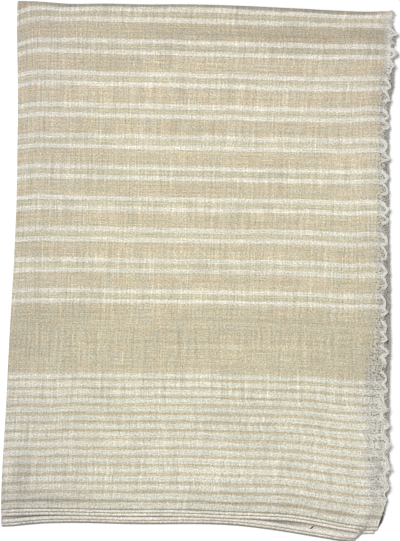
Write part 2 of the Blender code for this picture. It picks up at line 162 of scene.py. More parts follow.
# %% [markdown]
# ## The path of the cloth's length
#
# Seen from the side, the length of the cloth runs along the top to the far edge, turns down
# there round everything else, comes back along the bottom, turns up at the near edge, and does a
# small far turn before it ends. The width is folded first, so what runs along this path is a
# pair of plies. A list of points on the pair's middle line is all that the rule needs: the
# distance along that line is the cloth's own length coordinate.

# %% Lay out the middle line of the pair
TURN_STEPS = 40
TOUCHING = 1e-9  # two points this close are one


def arc(centre_y, centre_z, deep, high, start, stop):
    """Points of a turn about a centre, from one angle to another."""
    angles = np.linspace(math.radians(start), math.radians(stop), TURN_STEPS)
    return np.stack([centre_y + deep * np.cos(angles), centre_z + high * np.sin(angles)], 1)


def run(start_y, stop_y, z):
    """Points of a flat stretch."""
    return np.stack([np.linspace(start_y, stop_y, TURN_STEPS), np.full(TURN_STEPS, z)], 1)


def steps(points):
    """Distances from each point to the next."""
    return np.linalg.norm(np.diff(points, axis=0), axis=1)


far_deep = FAR_DEPTH - CLOTH_THICKNESS / 2 - PLY_PITCH / 2
legs = [
    run(NEAR_END, FAR_LINE, 7 * PLY_PITCH),
    arc(FAR_LINE, 4 * PLY_PITCH, far_deep, 3 * PLY_PITCH, 90, -90),
    run(FAR_LINE, NEAR_LINE, PLY_PITCH),
    arc(NEAR_LINE, 2 * PLY_PITCH, PLY_PITCH, PLY_PITCH, 270, 90),
    run(NEAR_LINE, INNER_FAR_LINE, 3 * PLY_PITCH),
    arc(INNER_FAR_LINE, 4 * PLY_PITCH, PLY_PITCH, PLY_PITCH, -90, 90),
    run(INNER_FAR_LINE, LOWER_NEAR_END, 5 * PLY_PITCH),
]
leg_levels = [(0, 0), (0, 1), (1, 1), (1, 2), (2, 2), (2, 3), (3, 3)]
line_points = np.concatenate(legs)
line_level = np.concatenate([np.linspace(a, b, TURN_STEPS) for a, b in leg_levels])
keep = np.r_[True, steps(line_points) > TOUCHING]
line_points, line_level = line_points[keep], line_level[keep]
line_length = np.r_[0, np.cumsum(steps(line_points))]
line_tangent = np.gradient(line_points, line_length, axis=0)
line_tangent /= np.linalg.norm(line_tangent, axis=1)[:, None]
CLOTH_LENGTH = float(line_length[-1])
FAR_TURN_START = float(FAR_LINE - NEAR_END)
FAR_TURN_END = FAR_TURN_START + float(steps(legs[1]).sum())
print("the cloth is", round(CLOTH_LENGTH, 3), "m long")

# %% [markdown]
# ## Creases, ruffles and the press of the stack
#
# Cloth that has lain folded is never flat. It is pressed thinner at its edges, keeps a few soft
# creases, and its woven edge is longer than its middle, so that edge stands up in small waves.
# Each of these is a height added to the rule. A height is scaled by how far up the stack a ply
# is, so plies never pass through each other and the bottom one stays flat on the table.

# %% Shape the creases
CREASES = table(
    "across along turn length width height",
    (-169, -20, 90, 620, 15, -0.9),
    (-160, -212, 88, 90, 10, -2.0),
    (-150, -205, 80, 110, 16, -0.8),
    (-120, 40, 83, 300, 30, 0.5),
    (-78, -110, 97, 240, 22, -0.4),
    (-44, 96, 88, 300, 18, 0.35),
    (20, -60, 97, 260, 38, 0.45),
    (58, 120, 84, 220, 20, -0.4),
    (118, 120, 86, 230, 34, 0.5),
    (150, 30, 92, 320, 16, -0.5),
    (-60, -215, 4, 190, 22, 0.45),
    (110, -170, -14, 150, 26, 0.8),
    (128, -205, -16, 130, 14, -0.8),
    (-20, 205, 2, 250, 26, 0.4),
    (96, 222, -3, 170, 20, -0.5),
    (-100, 158, -6, 150, 22, -0.4),
)
LAYERS, WAVES = 4, 8  # four kinds of unevenness, each a sum of eight waves
WAVE_TABLE = np.random.default_rng(7).uniform(-1, 1, (LAYERS, WAVES, 3))  # kx, ky and phase


def smooth_step(low, high, value):
    """A soft step from 0 to 1 as the value goes from low to high."""
    t = np.clip((value - low) / (high - low), 0.0, 1.0)
    return t * t * (3 - 2 * t)


def soft_waves(x, y, wavelength, layer):
    """A gentle random unevenness between about -1 and 1, different for each layer."""
    total = 0.0
    for kx, ky, phase in WAVE_TABLE[layer]:
        total = total + np.sin(2 * np.pi * ((kx * x + ky * y) / wavelength + phase))
    return total / (WAVES / 2)


def crease_height(x, y):
    """Height of the creases, each one a soft ridge or groove that fades towards its ends."""
    height = 0.0
    for crease in CREASES:
        turn = math.radians(crease.turn)
        dx, dy = x - crease.across * MM, y - crease.along * MM
        forward = dx * math.cos(turn) + dy * math.sin(turn)
        sideways = -dx * math.sin(turn) + dy * math.cos(turn)
        reach = 1 - np.minimum(np.abs(forward) / (crease.length * MM / 2), 1.0) ** 2
        width = crease.width * MM * (0.8 + 0.4 * reach)
        height = height + crease.height * MM * reach * np.exp(-(2 * sideways / width) ** 2)
    return height


print(len(CREASES), "creases")

# %% Shape the ruffles of the woven edge
RUFFLES = table(
    "start pitch waves height lean scallop",
    (-230.4, 16.7, 6, 3.0, -1.5, 4.0),
    (-117, 12.5, 6, 1.4, -0.9, 1.8),
    (-42, 15.5, 12, 0.7, -0.5, 1.0),
    (150, 11.0, 9, 1.3, -0.7, 1.5),
)
RUFFLE_REACH = 19 * MM  # how far a wave runs into the cloth
STEEP_SHARE = 0.24  # share of a wave that is its steep near side
FIRST_RISE = 0.7  # waves over which a run starts and stops
PITCH_CHANGE, CHANGE_LENGTH = 0.16, 13.7 * MM  # no two waves are quite equally long


def ruffle_waves(inward, line):
    """Height of the waves of the woven edge, and how far they push its outline out."""
    height, push = 0.0, 0.0
    for ruffle in RUFFLES:
        run_on = line - ruffle.start * MM + ruffle.lean * inward
        wave = run_on / (ruffle.pitch * MM) + PITCH_CHANGE * np.sin(run_on / CHANGE_LENGTH)
        inside = smooth_step(0.0, FIRST_RISE, wave) * smooth_step(
            ruffle.waves, ruffle.waves - FIRST_RISE, wave)
        phase = wave % 1.0
        tooth = np.where(phase < STEEP_SHARE, phase / STEEP_SHARE, (1 - phase) / (1 - STEEP_SHARE))
        tooth = smooth_step(0, 1, tooth) * inside
        height = height + ruffle.height * MM * tooth
        push = push + ruffle.scallop * MM * (tooth - 0.5 * inside)
    return height * smooth_step(RUFFLE_REACH, 1 * MM, inward), push


print(sum(ruffle.waves for ruffle in RUFFLES), "ruffles in", len(RUFFLES), "runs")

# %% [markdown]
# ## The drift of the weft
#
# The stripes of a shawl that has been worn no longer run straight across it: the weft creeps
# along the warp by a few millimetres. A table gives that drift for sixteen places along the
# cloth and seven across it, and the rule adds it to the cloth's length coordinate.

# %% Let the weft drift
DRIFT_PLACES = np.array([0, 30, 75, 190, 280, 318, 345]) * MM  # from the fold, for each column
DRIFT = table(
    "along fold beside left middle right sag edge",
    (0, 0.2, 0.2, 0.2, 0.2, 0.2, 0.2, 0.2),
    (16, 0.2, 0.7, 0.8, 1.2, 2.4, 3.4, 3.2),
    (45, 0.0, 0.5, 0.9, 2.5, 3.3, 4.0, 4.2),
    (80, -0.3, 0.0, 1.2, 2.9, 3.2, 2.5, 2.6),
    (110, -1.2, -0.7, 0.7, 2.4, 2.1, 0.8, 0.3),
    (132, -1.7, -1.1, 0.2, 1.7, 1.5, -0.4, -1.0),
    (200, -1.2, -0.2, 0.2, 1.1, 1.5, -0.1, 0.8),
    (255, -0.3, 0.6, 0.7, 1.9, 3.0, 0.7, 2.2),
    (314, 0.2, 2.2, 1.8, 2.2, 2.0, 1.6, 3.2),
    (345, -0.7, 1.7, 1.6, 1.6, 1.6, 1.6, 2.9),
    (375, -1.8, 1.1, 1.0, 0.5, 0.7, 0.6, 2.6),
    (405, -3.0, 0.8, 0.5, -0.2, -0.7, -0.2, 2.0),
    (436, -4.0, 0.8, 0.3, -0.4, -0.7, 0.2, 1.3),
    (461, -5.2, 1.2, 1.0, 0.5, 0.6, 0.8, 1.4),
    (482, -5.5, 1.2, 1.7, 1.5, 1.1, 1.0, 1.1),
    (500, -5.5, 1.2, 1.6, 1.2, 0.6, 0.5, 1.2),
)
drift_rows = np.array(DRIFT) * MM
DRIFT_GONE = 300 * MM  # past the far turn, where the drift has ended
FOLD_BEND = 2.4  # the drift changes fastest right at the fold


def weft_drift(from_fold, along):
    """How far the weft has crept along the packet, towards the far fold."""
    columns = [np.interp(along, drift_rows[:, 0], column) for column in drift_rows.T[1:]]
    drift = columns[0]
    for i, (near, far) in enumerate(zip(DRIFT_PLACES, DRIFT_PLACES[1:])):
        part = np.clip((from_fold - near) / (far - near), 0, 1)
        part = smooth_step(0, 1, part) if i else 1 - (1 - part) ** FOLD_BEND
        drift = np.where(from_fold >= near, columns[i] * (1 - part) + columns[i + 1] * part, drift)
    return drift * smooth_step(FAR_TURN_END + DRIFT_GONE, FAR_TURN_END, along)


print(len(DRIFT), "rows of drift")

# %% [markdown]
# ## Bend the sheet
#
# `folded_place` takes the cloth's own coordinates, across its width and along its length, and
# gives the place in space. It walks along the pair's middle line, steps half a ply to either
# side of it for the two halves of the width, and joins the halves with a small half-circle at
# the left fold. Then come the edges' outlines, the sag of the near end and the heights above.

# %% Fold the cloth along its path
FOLD_RADIUS = PLY_PITCH / 2
TURN_LENGTH = math.pi * FOLD_RADIUS
LEVEL_INSETS = np.array([0.0, 0.9, 0.3, 0.6]) * MM  # how far each pair's fold stays in
FRONT_INSETS = np.array([2.0, 0.0, 1.2]) * MM  # the lower plies' woven edges, first half
BACK_INSETS = np.array([0.9, 1.6, 1.4]) * MM  # and second half of the width
END_PULL = (120 * MM, NEAR_END)  # where the cut ends' stagger grows


def by_level(level, *rows):
    """The mix of four rows of values, one for each level of the path, at fractional levels."""
    rows = np.stack([np.broadcast_to(row, level.shape) for row in rows])
    low = np.clip(np.floor(level).astype(int), 0, 2)
    part = level - low
    columns = np.arange(len(level))
    return rows[low, columns] * (1 - part) + rows[low + 1, columns] * part


def on_path(across, along):
    """Where the path puts points of the cloth: along the packet, up, level, turn, back half."""
    y, z, tangent_y, tangent_z, level = (
        np.interp(along, line_length, values)
        for values in (*line_points.T, *line_tangent.T, line_level))
    turn = np.clip((across - (HALF_WIDTH - TURN_LENGTH / 2)) / TURN_LENGTH, 0, 1)
    step_out = FOLD_RADIUS * np.cos(np.pi * turn)
    y = y - tangent_z * step_out
    z = z + tangent_y * step_out
    back = smooth_step(0, 1, turn)
    end_pull = smooth_step(*END_PULL, y)
    y = y - END_STAGGER * end_pull * np.where(level < 0.5, back, 0)
    y = y - LOWER_STAGGER * end_pull * np.where(level > 2.5, 1 - back, 0)
    return y, z, level, turn, back


def between_edges(across, y, level, turn, back):
    """How far across the packet points lie, and where the woven edge of their ply is."""
    fold = left_fold(y) + CLOTH_THICKNESS / 2
    fold = fold + by_level(level, *LEVEL_INSETS)
    lower, second = lower_selvedge(y), second_selvedge(y)
    front = by_level(level, top_selvedge(y) + ruffle_waves(0.0, y)[1],
                     *(lower - inset for inset in FRONT_INSETS))
    rear = by_level(level, second, lower - BACK_INSETS[0], lower - BACK_INSETS[1],
                    second - BACK_INSETS[2])
    edge = front * (1 - back) + rear * back
    flat_width = HALF_WIDTH - TURN_LENGTH / 2
    share = np.clip(np.where(turn < 0.5, across, CLOTH_WIDTH - across) / flat_width, 0, 1)
    start = fold + FOLD_RADIUS
    return edge + (start - edge) * share - FOLD_RADIUS * np.sin(np.pi * turn), edge


print("a ply turns at the left fold in", round(TURN_LENGTH / MM, 2), "mm of cloth")

# %% Sag, press and swell it
UPPER_HEIGHT = (7.4 * MM, 8.6 * MM)  # heights between which the upper half starts
SAG_FADE = (-95 * MM, -235 * MM)
BOW_FADE = (FAR_LINE - 16 * MM, FAR_LINE + 1 * MM)
WANDER, WANDER_LENGTH = 0.4 * MM, 210 * MM  # how crooked the cloth lies between its ends
SWELLS = table("height wavelength", (0.28, 150), (0.10, 34))
EDGE_SLACK, SLACK_LENGTH = 0.3 * MM, 60 * MM  # soft waves of the loose woven edge
SLACK_REACH, SLACK_LEAN, LEVEL_SLACK = 40 * MM, 0.3, 0.15
FOLD_PRESS, FOLD_PRESS_REACH = 0.20, 9 * MM  # share of the height that each edge presses away
FAR_PRESS, SELVEDGE_PRESS = 0.16, 0.24
UPPER_END_PRESS, LOWER_END_PRESS = 0.06, 0.17
CORNER_DROOP, DROOP_FROM = 5 * MM, (2 * MM, 18 * MM)  # where nothing lies under the top pair
END_CURL, CURL_REACH = 0.75 * MM, 3.5 * MM
SECOND_RUFFLE, SECOND_CURL = 0.45, 0.6  # the second ply's share of the top ply's waves and curl
UNDER_PRESS = 0.42 * MM  # how far the lowest ply is pressed to the table


def sagged(x, line, upper):
    """How far along the packet points lie, once the near end sags and the far fold bows."""
    drop = upper_sag(x) * upper + lower_sag(x) * (1 - upper)
    y = line - drop * smooth_step(*SAG_FADE, line)
    y = y + far_bow(x) * smooth_step(*BOW_FADE, line)
    at_far = smooth_step(FAR_LINE - 4 * MM, FAR_LINE - 60 * MM, line)
    at_near = smooth_step(NEAR_END + 2 * MM, NEAR_END + 60 * MM, line)
    return y + WANDER * soft_waves(x, line, WANDER_LENGTH, 0) * at_far * at_near


def pressed(x, line, upper):
    """The share of its height that the stack keeps near its folds, ends and woven edges."""
    from_fold = np.maximum(x - left_fold(line), 0)
    press = 1 - FOLD_PRESS * np.exp(-(from_fold / FOLD_PRESS_REACH) ** 2)
    press = press - FAR_PRESS * smooth_step(FAR_LINE - 26 * MM, FAR_LINE + 4 * MM, line)
    at_end = smooth_step(NEAR_END + 22 * MM, NEAR_END - 4 * MM, line)
    press = press - (UPPER_END_PRESS * upper + LOWER_END_PRESS * (1 - upper)) * at_end
    return press - SELVEDGE_PRESS * smooth_step(-9 * MM, 1.5 * MM, x - lower_selvedge(line))


def swollen(x, y, line):
    """The height of the creases and of the cloth's soft unevenness."""
    swell = crease_height(x, y)
    for layer, row in enumerate(SWELLS, 1):
        swell = swell + row.height * MM * soft_waves(x, y, row.wavelength * MM, layer)
    return swell * smooth_step(FAR_LINE + 2 * MM, FAR_LINE - 22 * MM, line)


def folded_place(across, along):
    """Places of points of the cloth, from its own coordinates in metres."""
    across, along = np.broadcast_arrays(np.asarray(across, float), np.asarray(along, float))
    across, along = across.ravel(), along.ravel()
    along = along + weft_drift(HALF_WIDTH - np.minimum(across, CLOTH_WIDTH - across), along)
    line, z, level, turn, back = on_path(across, along)
    x, edge = between_edges(across, line, level, turn, back)
    upper = smooth_step(*UPPER_HEIGHT, z)
    y = sagged(x, line, upper)

    top_ply = np.where((level < 0.6) & (turn < 0.5), 1.0, 0.0)
    second_ply = np.where((level < 0.6) & (turn >= 0.5), 1.0, 0.0)
    third_ply = np.where((level > 2.5) & (turn >= 0.5), 1.0, 0.0)
    inward = np.maximum(edge - x, 0)
    slack = smooth_step(SLACK_REACH, 0, inward) * EDGE_SLACK * (1 + level * LEVEL_SLACK)
    slack = slack * soft_waves(x * SLACK_LEAN, y, SLACK_LENGTH, 3)
    droop = CORNER_DROOP * smooth_step(*DROOP_FROM, x - lower_selvedge(y))
    curl = END_CURL * smooth_step(CURL_REACH, 0, np.minimum(along, CLOTH_LENGTH - along))
    height_share = z / STACK_HEIGHT
    z = z * pressed(x, line, upper) + height_share * (swollen(x, y, line) + slack)
    z = z + (top_ply + SECOND_RUFFLE * second_ply) * ruffle_waves(inward, line)[0]
    z = z - droop * (top_ply + second_ply + third_ply)
    z = z - curl * (top_ply + SECOND_CURL * second_ply)
    z = np.maximum(z - UNDER_PRESS * (1 - height_share), CLOTH_THICKNESS / 2)
    return np.stack([x, y, z], 1) + packet_shift


corner = folded_place([0, 0, CLOTH_WIDTH], [0, FAR_TURN_START, 0])
print("corners of the top ply in mm:\n", np.round(corner / MM, 1))

# %% [markdown]
# ## Weave the meshes
#
# The sheet becomes a grid of quads whose lines are close together where the cloth bends or
# ruffles and far apart where nothing happens. Two pieces share the cloth: the top stretch with
# its turn over the far edge, and all that lies under it. Each vertex keeps its own cloth
# coordinates in the UV map, in metres, so the woven stripes follow every bend. A Solidify
# modifier gives the cloth its thickness.

# %% Grid helpers


def add_object(name, data):
    """Puts a new object into the scene."""
    made = bpy.data.objects.new(name, data)
    bpy.context.collection.objects.link(made)
    return made


def lines(start, *stretches):
    """Grid lines from (stop, spacing) stretches, in millimetres, given in metres."""
    places = [start]
    for stop, spacing in stretches:
        count = max(int(round((stop - places[-1]) / spacing)), 1)
        places += list(np.linspace(places[-1], stop, count + 1)[1:])
    return np.array(places) * MM


def weave_sheet(name, across, along, material):
    """A thin sheet over a grid of the cloth's own coordinates."""
    grid_across, grid_along = np.meshgrid(across, along)
    points = folded_place(grid_across, grid_along)
    rows, columns = grid_across.shape
    corners = np.arange(rows * columns).reshape(rows, columns)
    quads = np.stack([
        corners[:-1, :-1], corners[1:, :-1], corners[1:, 1:], corners[:-1, 1:]
    ], -1).reshape(-1, 4)
    mesh = bpy.data.meshes.new(name)
    mesh.from_pydata(points.tolist(), [], quads.tolist())
    layer = mesh.uv_layers.new(name="cloth")
    cloth = np.stack([grid_across.ravel(), grid_along.ravel()], 1)
    layer.data.foreach_set("uv", cloth[quads.ravel()].ravel().astype(np.float32))
    mesh.shade_smooth()
    mesh.materials.append(material)
    piece = add_object(name, mesh)
    thicken = piece.modifiers.new("cloth_thickness", "SOLIDIFY")
    thicken.thickness = CLOTH_THICKNESS
    thicken.offset = 0.0
    print(name, "has", len(quads) * 4, "triangles once thickened")
    return piece


# %% [markdown]
# ## A small language for shader nodes
#
# Both the cloth and the yarn need long chains of small calculations. `put` adds a node and wires
# it. `Value` stands for a number that a node gives, and takes the ordinary signs, so a sum in a
# material reads like a sum on paper and each sign becomes one Math node.

# %% Node helpers


def give(socket, value):
    """Links a socket to what another node gives, or sets it to a plain number or colour."""
    value = getattr(value, "socket", value)
    if isinstance(value, bpy.types.NodeSocket):
        socket.id_data.links.new(value, socket)
    else:
        socket.default_value = value


def put(tree, kind, inputs=(), **settings):
    """Adds a node, gives it settings, and links or sets its inputs."""
    made = tree.nodes.new(kind)
    for name, value in settings.items():
        setattr(made, name, value)
    for key, value in dict(inputs).items():
        give(made.inputs[key], value)
    return made


def calc(operation, *values):
    """The result of one Math node."""
    tree = next(value.socket.id_data for value in values if isinstance(value, Value))
    return Value(put(tree, "ShaderNodeMath", enumerate(values), operation=operation).outputs[0])


class Value:
    """What a node gives. Where it is a number, it takes the ordinary signs for sums."""

    def __init__(self, socket):
        self.socket = socket

    def __add__(self, other):
        return calc("ADD", self, other)

    def __sub__(self, other):
        return calc("SUBTRACT", self, other)

    def __rsub__(self, other):
        return calc("SUBTRACT", other, self)

    def __mul__(self, other):
        return calc("MULTIPLY", self, other)

    def __truediv__(self, other):
        return calc("DIVIDE", self, other)

    def __abs__(self):
        return calc("ABSOLUTE", self)

    def ramp(self, low, high, to_low=0.0, to_high=1.0):
        """A soft step of the value, from to_low to to_high."""
        limits = {"From Min": low, "From Max": high, "To Min": to_low, "To Max": to_high}
        return Value(put(self.socket.id_data, "ShaderNodeMapRange", {"Value": self, **limits},
                         interpolation_type="SMOOTHSTEP").outputs[0])

    def over(self, start, stop, *reach):
        """The same soft step of a distance, between two places in millimetres."""
        return self.ramp(start * MM, stop * MM, *reach)


# %% Helpers for colours, noise and groups


def values_of(node):
    """What a node gives, by name."""
    return {socket.name: Value(socket) for socket in node.outputs}


def blend(share, first, second):
    """The mix of two colours."""
    inputs = {0: share, 6: first, 7: second}
    return put(share.socket.id_data, "ShaderNodeMix", inputs, data_type="RGBA").outputs[2]


def stretched(point, across, along, shift):
    """A point of the cloth, counted in steps of so many millimetres across and along it."""
    return put(point.id_data, "ShaderNodeVectorMath", {
        0: point, 1: (1 / (across * MM), 1 / (along * MM), 0.0), 2: shift
    }, operation="MULTIPLY_ADD").outputs[0]


def scaled_noise(point, across, along, detail=2.0, roughness=0.5, offset=0.0):
    """Noise whose grain has its own size in millimetres across and along the cloth."""
    vector = stretched(point, across, along, (offset, offset * 1.7, offset))
    return Value(put(point.id_data, "ShaderNodeTexNoise", {
        "Vector": vector, "Scale": 1.0, "Detail": detail, "Roughness": roughness
    }).outputs["Fac"])


def add_socket(group, name, side):
    """A named input or output of a node group, a number unless its name says otherwise."""
    kind = name if name in ("Geometry", "Material") else "Float"
    group.interface.new_socket(name, in_out=side, socket_type="NodeSocket" + kind)


def open_group(name, kind, *inputs):
    """A new node group, and the values of its named inputs."""
    group = bpy.data.node_groups.new(name, kind)
    for socket in inputs:
        add_socket(group, socket, "INPUT")
    given = values_of(group.nodes.new("NodeGroupInput"))
    return group, [given[socket] for socket in inputs]


def close_group(group, **results):
    """Gives a node group its named outputs."""
    for name in results:
        add_socket(group, name, "OUTPUT")
    put(group, "NodeGroupOutput", results)
    print(group.name, "has", len(group.nodes), "nodes")
    return group


def new_material(name, settings):
    """A material, and its Principled shader with these settings."""
    material = bpy.data.materials.new(name)
    material.use_nodes = True
    shader = material.node_tree.nodes["Principled BSDF"]
    for socket, value in settings.items():
        shader.inputs[socket].default_value = value
    return material, shader


# %% [markdown]
# ## The woven stripes
#
# The stripes are weft threads, so they depend only on the distance along the cloth. From each
# cut end come a border of fine cream and beige lines, a plain beige band, and then pairs of
# cream lines, a little further apart the further they are from the border, as the weaver's beat
# gets lighter. The group works the pattern out with sums and gives masks for the cream weft, the
# border, the strips between the lines of a pair, and the beat within the border.

# %% Build the stripe group
BORDER_PITCH = 8.35 * MM
BORDER_FIRST = 7.5 * MM
BORDER_LINE = 1.55 * MM  # half the width of a beige line in the border
BORDER_END = 131.3 * MM
BAND_END = 196 * MM
PAIR_START = 206.5 * MM  # middle of the first pair of cream lines
PAIR_PITCH = 29.77 * MM
PAIR_GROWTH = 0.1855 * MM  # each pitch is longer than the last by twice this
PAIR_SPACING = 31 * MM  # length of one turn, for measuring the width of a line
PAIR_HALF = 5.15 * MM  # from a pair's middle to one of its lines
PAIR_LINE = 2.15 * MM  # half the width of a cream line
EVEN_FROM = 0.5  # from here on the pairs are evenly spaced
EVEN_PITCH = 33.12 * MM  # puts a pair on the very middle of the cloth
FUZZ_IN, FUZZ_OUT = 0.5 * MM, 0.6 * MM  # how softly a line ends


def from_whole(turns):
    """How far a count of turns is from a whole number."""
    return abs(calc("FRACT", turns + 0.5) - 0.5)


def line_side(distance, half_width, *reach):
    """The soft side of a woven line."""
    return distance.ramp(half_width - FUZZ_IN, half_width + FUZZ_OUT, *reach)


def build_stripe_group():
    """The pattern of the stripes, from the distance along the cloth."""
    group, (along, waver, spread) = open_group(
        "woven_stripes", "ShaderNodeTree", "Along", "Waver", "Spread")
    place = calc("MINIMUM", along, CLOTH_LENGTH - along) + waver

    turns = (place - BORDER_FIRST) / BORDER_PITCH
    border_cream = line_side(from_whole(turns) * BORDER_PITCH + spread, BORDER_LINE)
    in_border = place.ramp(BORDER_END - 0.3 * MM, BORDER_END + 0.3 * MM, 1.0, 0.0)

    grown = (calc("MINIMUM", place, EVEN_FROM) - PAIR_START) * (4 * PAIR_GROWTH) + PAIR_PITCH**2
    count = (calc("SQRT", calc("MAXIMUM", grown, 0.0)) - PAIR_PITCH) / (2 * PAIR_GROWTH)
    count = count + calc("MAXIMUM", place - EVEN_FROM, 0.0) / EVEN_PITCH
    from_middle = from_whole(count) * PAIR_SPACING
    pair_cream = line_side(abs(from_middle - PAIR_HALF), PAIR_LINE, 1.0, 0.0)
    between = from_middle.ramp(PAIR_HALF + 1 * MM, PAIR_HALF - 1 * MM)
    in_body = place.ramp(BAND_END, BAND_END + 0.5 * MM)

    return close_group(
        group, Cream=calc("MAXIMUM", border_cream * in_border, pair_cream * in_body),
        Border=in_border, Between=between * in_body,
        Beat=(calc("FRACT", turns) - 0.5) * in_border)


stripe_group = build_stripe_group()

# %% [markdown]
# ## The weave
#
# Up close the cloth is a plain weave of soft, uneven, hand-spun yarn. One group gives its relief:
# a chequer of small pillows where warp and weft pass over each other, with some yarns thicker
# than others. It also gives streaks that run with the warp, picks that are lighter or darker
# along the weft, and a fine grain. They are masks, and each material decides how strongly it
# takes them.

# %% Build the weave group
YARN_PITCH = 0.78 * MM
YARN_BEND = 2.2 * YARN_PITCH  # how far the yarns wander from a straight line


def build_weave_group():
    """The relief of the weave and the unevenness of its yarns."""
    group, (across, along) = open_group("plain_weave", "ShaderNodeTree", "Across", "Along")
    point = put(group, "ShaderNodeCombineXYZ", {"X": across, "Y": along}).outputs[0]
    bend = (scaled_noise(point, 9, 9, offset=3.0) - 0.5) * YARN_BEND
    over = calc("SINE", (across + bend) * (math.pi / YARN_PITCH))
    under = calc("SINE", (along - bend) * (math.pi / YARN_PITCH))
    pillow = calc("SQRT", abs(over * under))
    warp = (scaled_noise(point, 1.1, 42, 3.0, 0.6, 11.0) * 0.75
            + scaled_noise(point, 2.6, 95, 2.0, 0.5, 23.0) * 0.25)
    weft = (scaled_noise(point, 26, 1.0, 3.0, 0.6, 37.0) * 0.65
            + scaled_noise(point, 300, 1.8, 1.0, 0.5, 43.0) * 0.35)
    grain = scaled_noise(point, 1.7, 1.25, 2.0, 0.6, 51.0)
    slub = scaled_noise(point, 5.5, 0.9, 1.0, 0.4, 71.0).ramp(0.70, 0.78)
    relief = warp * 0.35 + (weft * 0.35 + pillow * 0.6) + slub * 0.3
    return close_group(group, Relief=relief, Warp=warp, Weft=weft, Grain=grain, Slub=slub)


weave_group = build_weave_group()

# %% [markdown]
# ## The cloth's material
#
# Wool scatters light softly: a rough surface with a little sheen. Two beiges that differ by a
# hair are mixed over patches of a few centimetres, the cream weft lies over them, and the masks
# of the weave lighten and darken single threads. Towards the woven edge the weft packs looser
# and greyer, most of all beside the fine border, where small gaps open between its threads.
#
# The colour also carries painted shade: the cloth is made a little darker along the left fold,
# towards the far turn and towards the woven edges, and painted grey shade lies on the far turn, at
# the near fold, over the stretch tucked in under the cut ends and on the second ply's edge strip,
# with a painted shadow at that strip's near corner. It is also darker in a stretch before the far
# turn, near the corner by the fold and towards the top ply's cut end, and less yellow near its
# folds and edges. Each of these is a soft ramp of the distance from a fold, an edge or an end, so
# it stays with the cloth from every side. A short table adds the single marks: darker and lighter
# patches, two pale slubs and one dark fleck.

# %% Name the dyes
LIGHT_LEVEL = 1.15  # how much the studio light lifts a matt surface


def dyed(red, green, blue):
    """The dye of cloth that looks like this 8-bit sRGB colour under the studio light."""
    linear = [((c / 255 + 0.055) / 1.055) ** 2.4 for c in (red, green, blue)]
    return (*(part / LIGHT_LEVEL for part in linear), 1.0)


BEIGE_WARM = dyed(213, 199, 170)
BEIGE_COOL = dyed(206, 199, 176)
PAIR_BEIGE = dyed(209, 202, 177)  # between the two lines of a pair
BORDER_BEIGE = dyed(202, 192, 168)
CREAM = dyed(231, 228, 213)
BORDER_CREAM = dyed(223, 221, 206)
END_CREAM = dyed(233, 230, 216)
END_LINE = dyed(178, 166, 141)
EDGE_GREY = dyed(218, 216, 210)
# painted shade: the second ply's edge strip, which lies in the shade of the top ply
BACK_SHADE_GREY = dyed(158, 155, 147)
# painted shadow under the near corner of the upper plies
CORNER_SHADOW_GREY = dyed(84, 82, 79)
# painted shade: the grey laid on the far turn, which turns away from the light, and on the stretch
# tucked under the cut ends
PAINTED_SHADE_GREY = dyed(158, 156, 146)
print("the beiges and the cream:", np.round([BEIGE_WARM, BEIGE_COOL, CREAM], 2).tolist())

# %% Measure the cloth


def cloth_measures(tree):
    """Where a point of the cloth is, and how far it is from every fold, edge and end."""
    at = SimpleNamespace(point=put(tree, "ShaderNodeUVMap", uv_map="cloth").outputs[0])
    place = values_of(put(tree, "ShaderNodeSeparateXYZ", {0: at.point}))
    at.across, at.along = place["X"], place["Y"]
    at.from_edge = calc("MINIMUM", at.across, CLOTH_WIDTH - at.across)
    at.from_end = calc("MINIMUM", at.along, CLOTH_LENGTH - at.along)
    at.from_fold = HALF_WIDTH - at.from_edge
    at.past_far = at.along - FAR_TURN_START
    at.past_turn = at.along - FAR_TURN_END
    at.on_back = calc("GREATER_THAN", at.across, HALF_WIDTH)
    at.far_half = calc("GREATER_THAN", at.along, CLOTH_LENGTH / 2)
    at.on_top = 1.0 - calc("MAXIMUM", at.on_back, at.far_half)
    return at


def place_stripes(tree, at):
    """The stripe group on the cloth, with lines that waver and are not all equally wide."""
    waver = (scaled_noise(at.point, 38, 160, 1.0) - 0.5) * (1.8 * MM)
    ragged = (scaled_noise(at.point, 1.6, 3, 2.0) - 0.5) * (2.1 * MM)
    spread = (scaled_noise(at.point, 24, 5, 2.0, 0.5, 60.0) - 0.5) * (2.6 * MM)
    return values_of(put(tree, "ShaderNodeGroup", {
        "Along": at.along, "Waver": waver + ragged, "Spread": spread}, node_tree=stripe_group))


# %% Colour the threads


def thread_colour(at, stripes, weave):
    """Beige cloth and its cream weft."""
    hue = (scaled_noise(at.point, 20, 14, 3.0) * 0.5
           + scaled_noise(at.point, 7, 4, 1.0, 0.5, 90.0) * 0.5)
    beige = blend(hue.ramp(0.36, 0.64), BEIGE_WARM, BEIGE_COOL)
    beige = blend(stripes["Between"], beige, PAIR_BEIGE)
    beige = blend(stripes["Border"] * 0.8, beige, BORDER_BEIGE)
    cream = blend(stripes["Border"], CREAM, BORDER_CREAM)
    thin = scaled_noise(at.point, 14, 1.3, 3.0, 0.6, 7.0).ramp(0.3, 0.6, 0.7)
    light_warp = weave["Warp"].ramp(0.56, 0.70, 0.0, 0.30)
    share = calc("MAXIMUM", stripes["Cream"] * thin, light_warp)
    return blend(calc("MAXIMUM", share, weave["Slub"] * 0.75), beige, cream)


